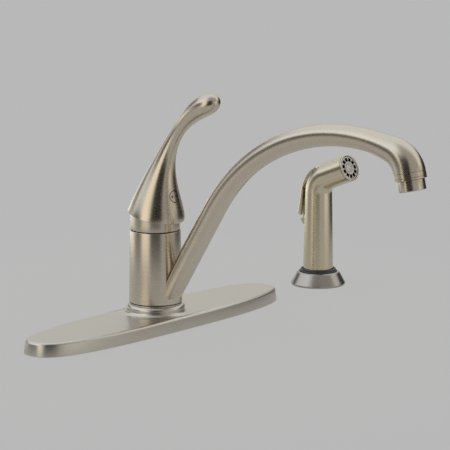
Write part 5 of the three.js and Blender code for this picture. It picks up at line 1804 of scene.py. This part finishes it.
def add_world(studio):
    """The room's light. The camera sees the plain backdrop instead."""
    world = bpy.data.worlds.new("Studio")
    bpy.context.scene.world = world
    world.use_nodes = True
    tree = world.node_tree
    direction = node(tree, "ShaderNodeTexCoord").outputs["Generated"]
    room = tuple(studio.room)
    for turn, elevation, half_width, half_height, softness, shade in ROOM_PATCHES:
        patch = glow(tree, direction, towards(studio, turn, elevation), half_width, half_height, softness)
        room = mixed(tree, patch, room, shade)
    light = tree.nodes["Background"]
    tree.links.new(room, light.inputs["Color"])
    backdrop = node(tree, "ShaderNodeBackground")
    backdrop.inputs["Color"].default_value = (*studio.backdrop, 1)
    even_grey(
        tree, ("Is Camera Ray",), light.outputs["Background"], backdrop.outputs["Background"],
        tree.nodes["World Output"].inputs["Surface"])


def add_camera(studio):
    camera = bpy.data.cameras.new("camera")
    camera.lens = studio.lens
    camera.sensor_width = 36
    camera.clip_end = 50
    piece = bpy.data.objects.new("camera", camera)
    level = math.cos(studio.elevation) * studio.distance
    piece.location = (
        math.sin(studio.azimuth) * level,
        -math.cos(studio.azimuth) * level,
        math.sin(studio.elevation) * studio.distance,
    )
    piece.rotation_euler = Vector(studio.aim).to_track_quat("-Z", "Y").to_euler()
    bpy.context.scene.collection.objects.link(piece)
    bpy.context.scene.camera = piece
    bpy.context.scene.view_settings.view_transform = "Standard"


# ---------------------------------------------------------------------------
# Panel and registration
# ---------------------------------------------------------------------------

GROUPS = {
    "faucet_plate": FaucetPlateSizes,
    "faucet_spout": FaucetSpoutSizes,
    "faucet_aerator": FaucetAeratorSizes,
    "faucet_lever": FaucetLeverSizes,
    "faucet_spray": FaucetSpraySizes,
    "faucet_finishes": FaucetFinishes,
    "faucet_studio": FaucetStudio,
}

OPERATORS = (
    FAUCET_OT_finishes,
    FAUCET_OT_plate,
    FAUCET_OT_spout,
    FAUCET_OT_aerator,
    FAUCET_OT_lever,
    FAUCET_OT_spray_holder,
    FAUCET_OT_spray_wand,
    FAUCET_OT_spray_face,
    FAUCET_OT_studio,
)


class FAUCET_PT_sidebar(bpy.types.Panel):
    """Lists the faucet's sizes and the pieces that can be built"""
    bl_idname = "FAUCET_PT_sidebar"
    bl_label = "Side spray faucet"
    bl_space_type = "VIEW_3D"
    bl_region_type = "UI"
    bl_category = "Faucet"

    def draw(self, context):
        for attribute in GROUPS:
            box = self.layout.box()
            box.label(text=attribute.replace("faucet_", "").title())
            settings = getattr(context.scene, attribute)
            for key in settings.bl_rna.properties.keys():
                if key not in ("rna_type", "name"):
                    box.prop(settings, key)
        for operator in OPERATORS:
            self.layout.operator(operator.bl_idname)


def register():
    for group in GROUPS.values():
        bpy.utils.register_class(group)
    for operator in OPERATORS:
        bpy.utils.register_class(operator)
    bpy.utils.register_class(FAUCET_PT_sidebar)
    for attribute, group in GROUPS.items():
        setattr(bpy.types.Scene, attribute, bpy.props.PointerProperty(type=group))


def unregister():
    for attribute in GROUPS:
        delattr(bpy.types.Scene, attribute)
    bpy.utils.unregister_class(FAUCET_PT_sidebar)
    for operator in reversed(OPERATORS):
        bpy.utils.unregister_class(operator)
    for group in reversed(list(GROUPS.values())):
        bpy.utils.unregister_class(group)


def main():
    register()
    for operator in OPERATORS:
        family, name = operator.bl_idname.split(".")
        getattr(getattr(bpy.ops, family), name)()


if __name__ == "__main__":
    main()
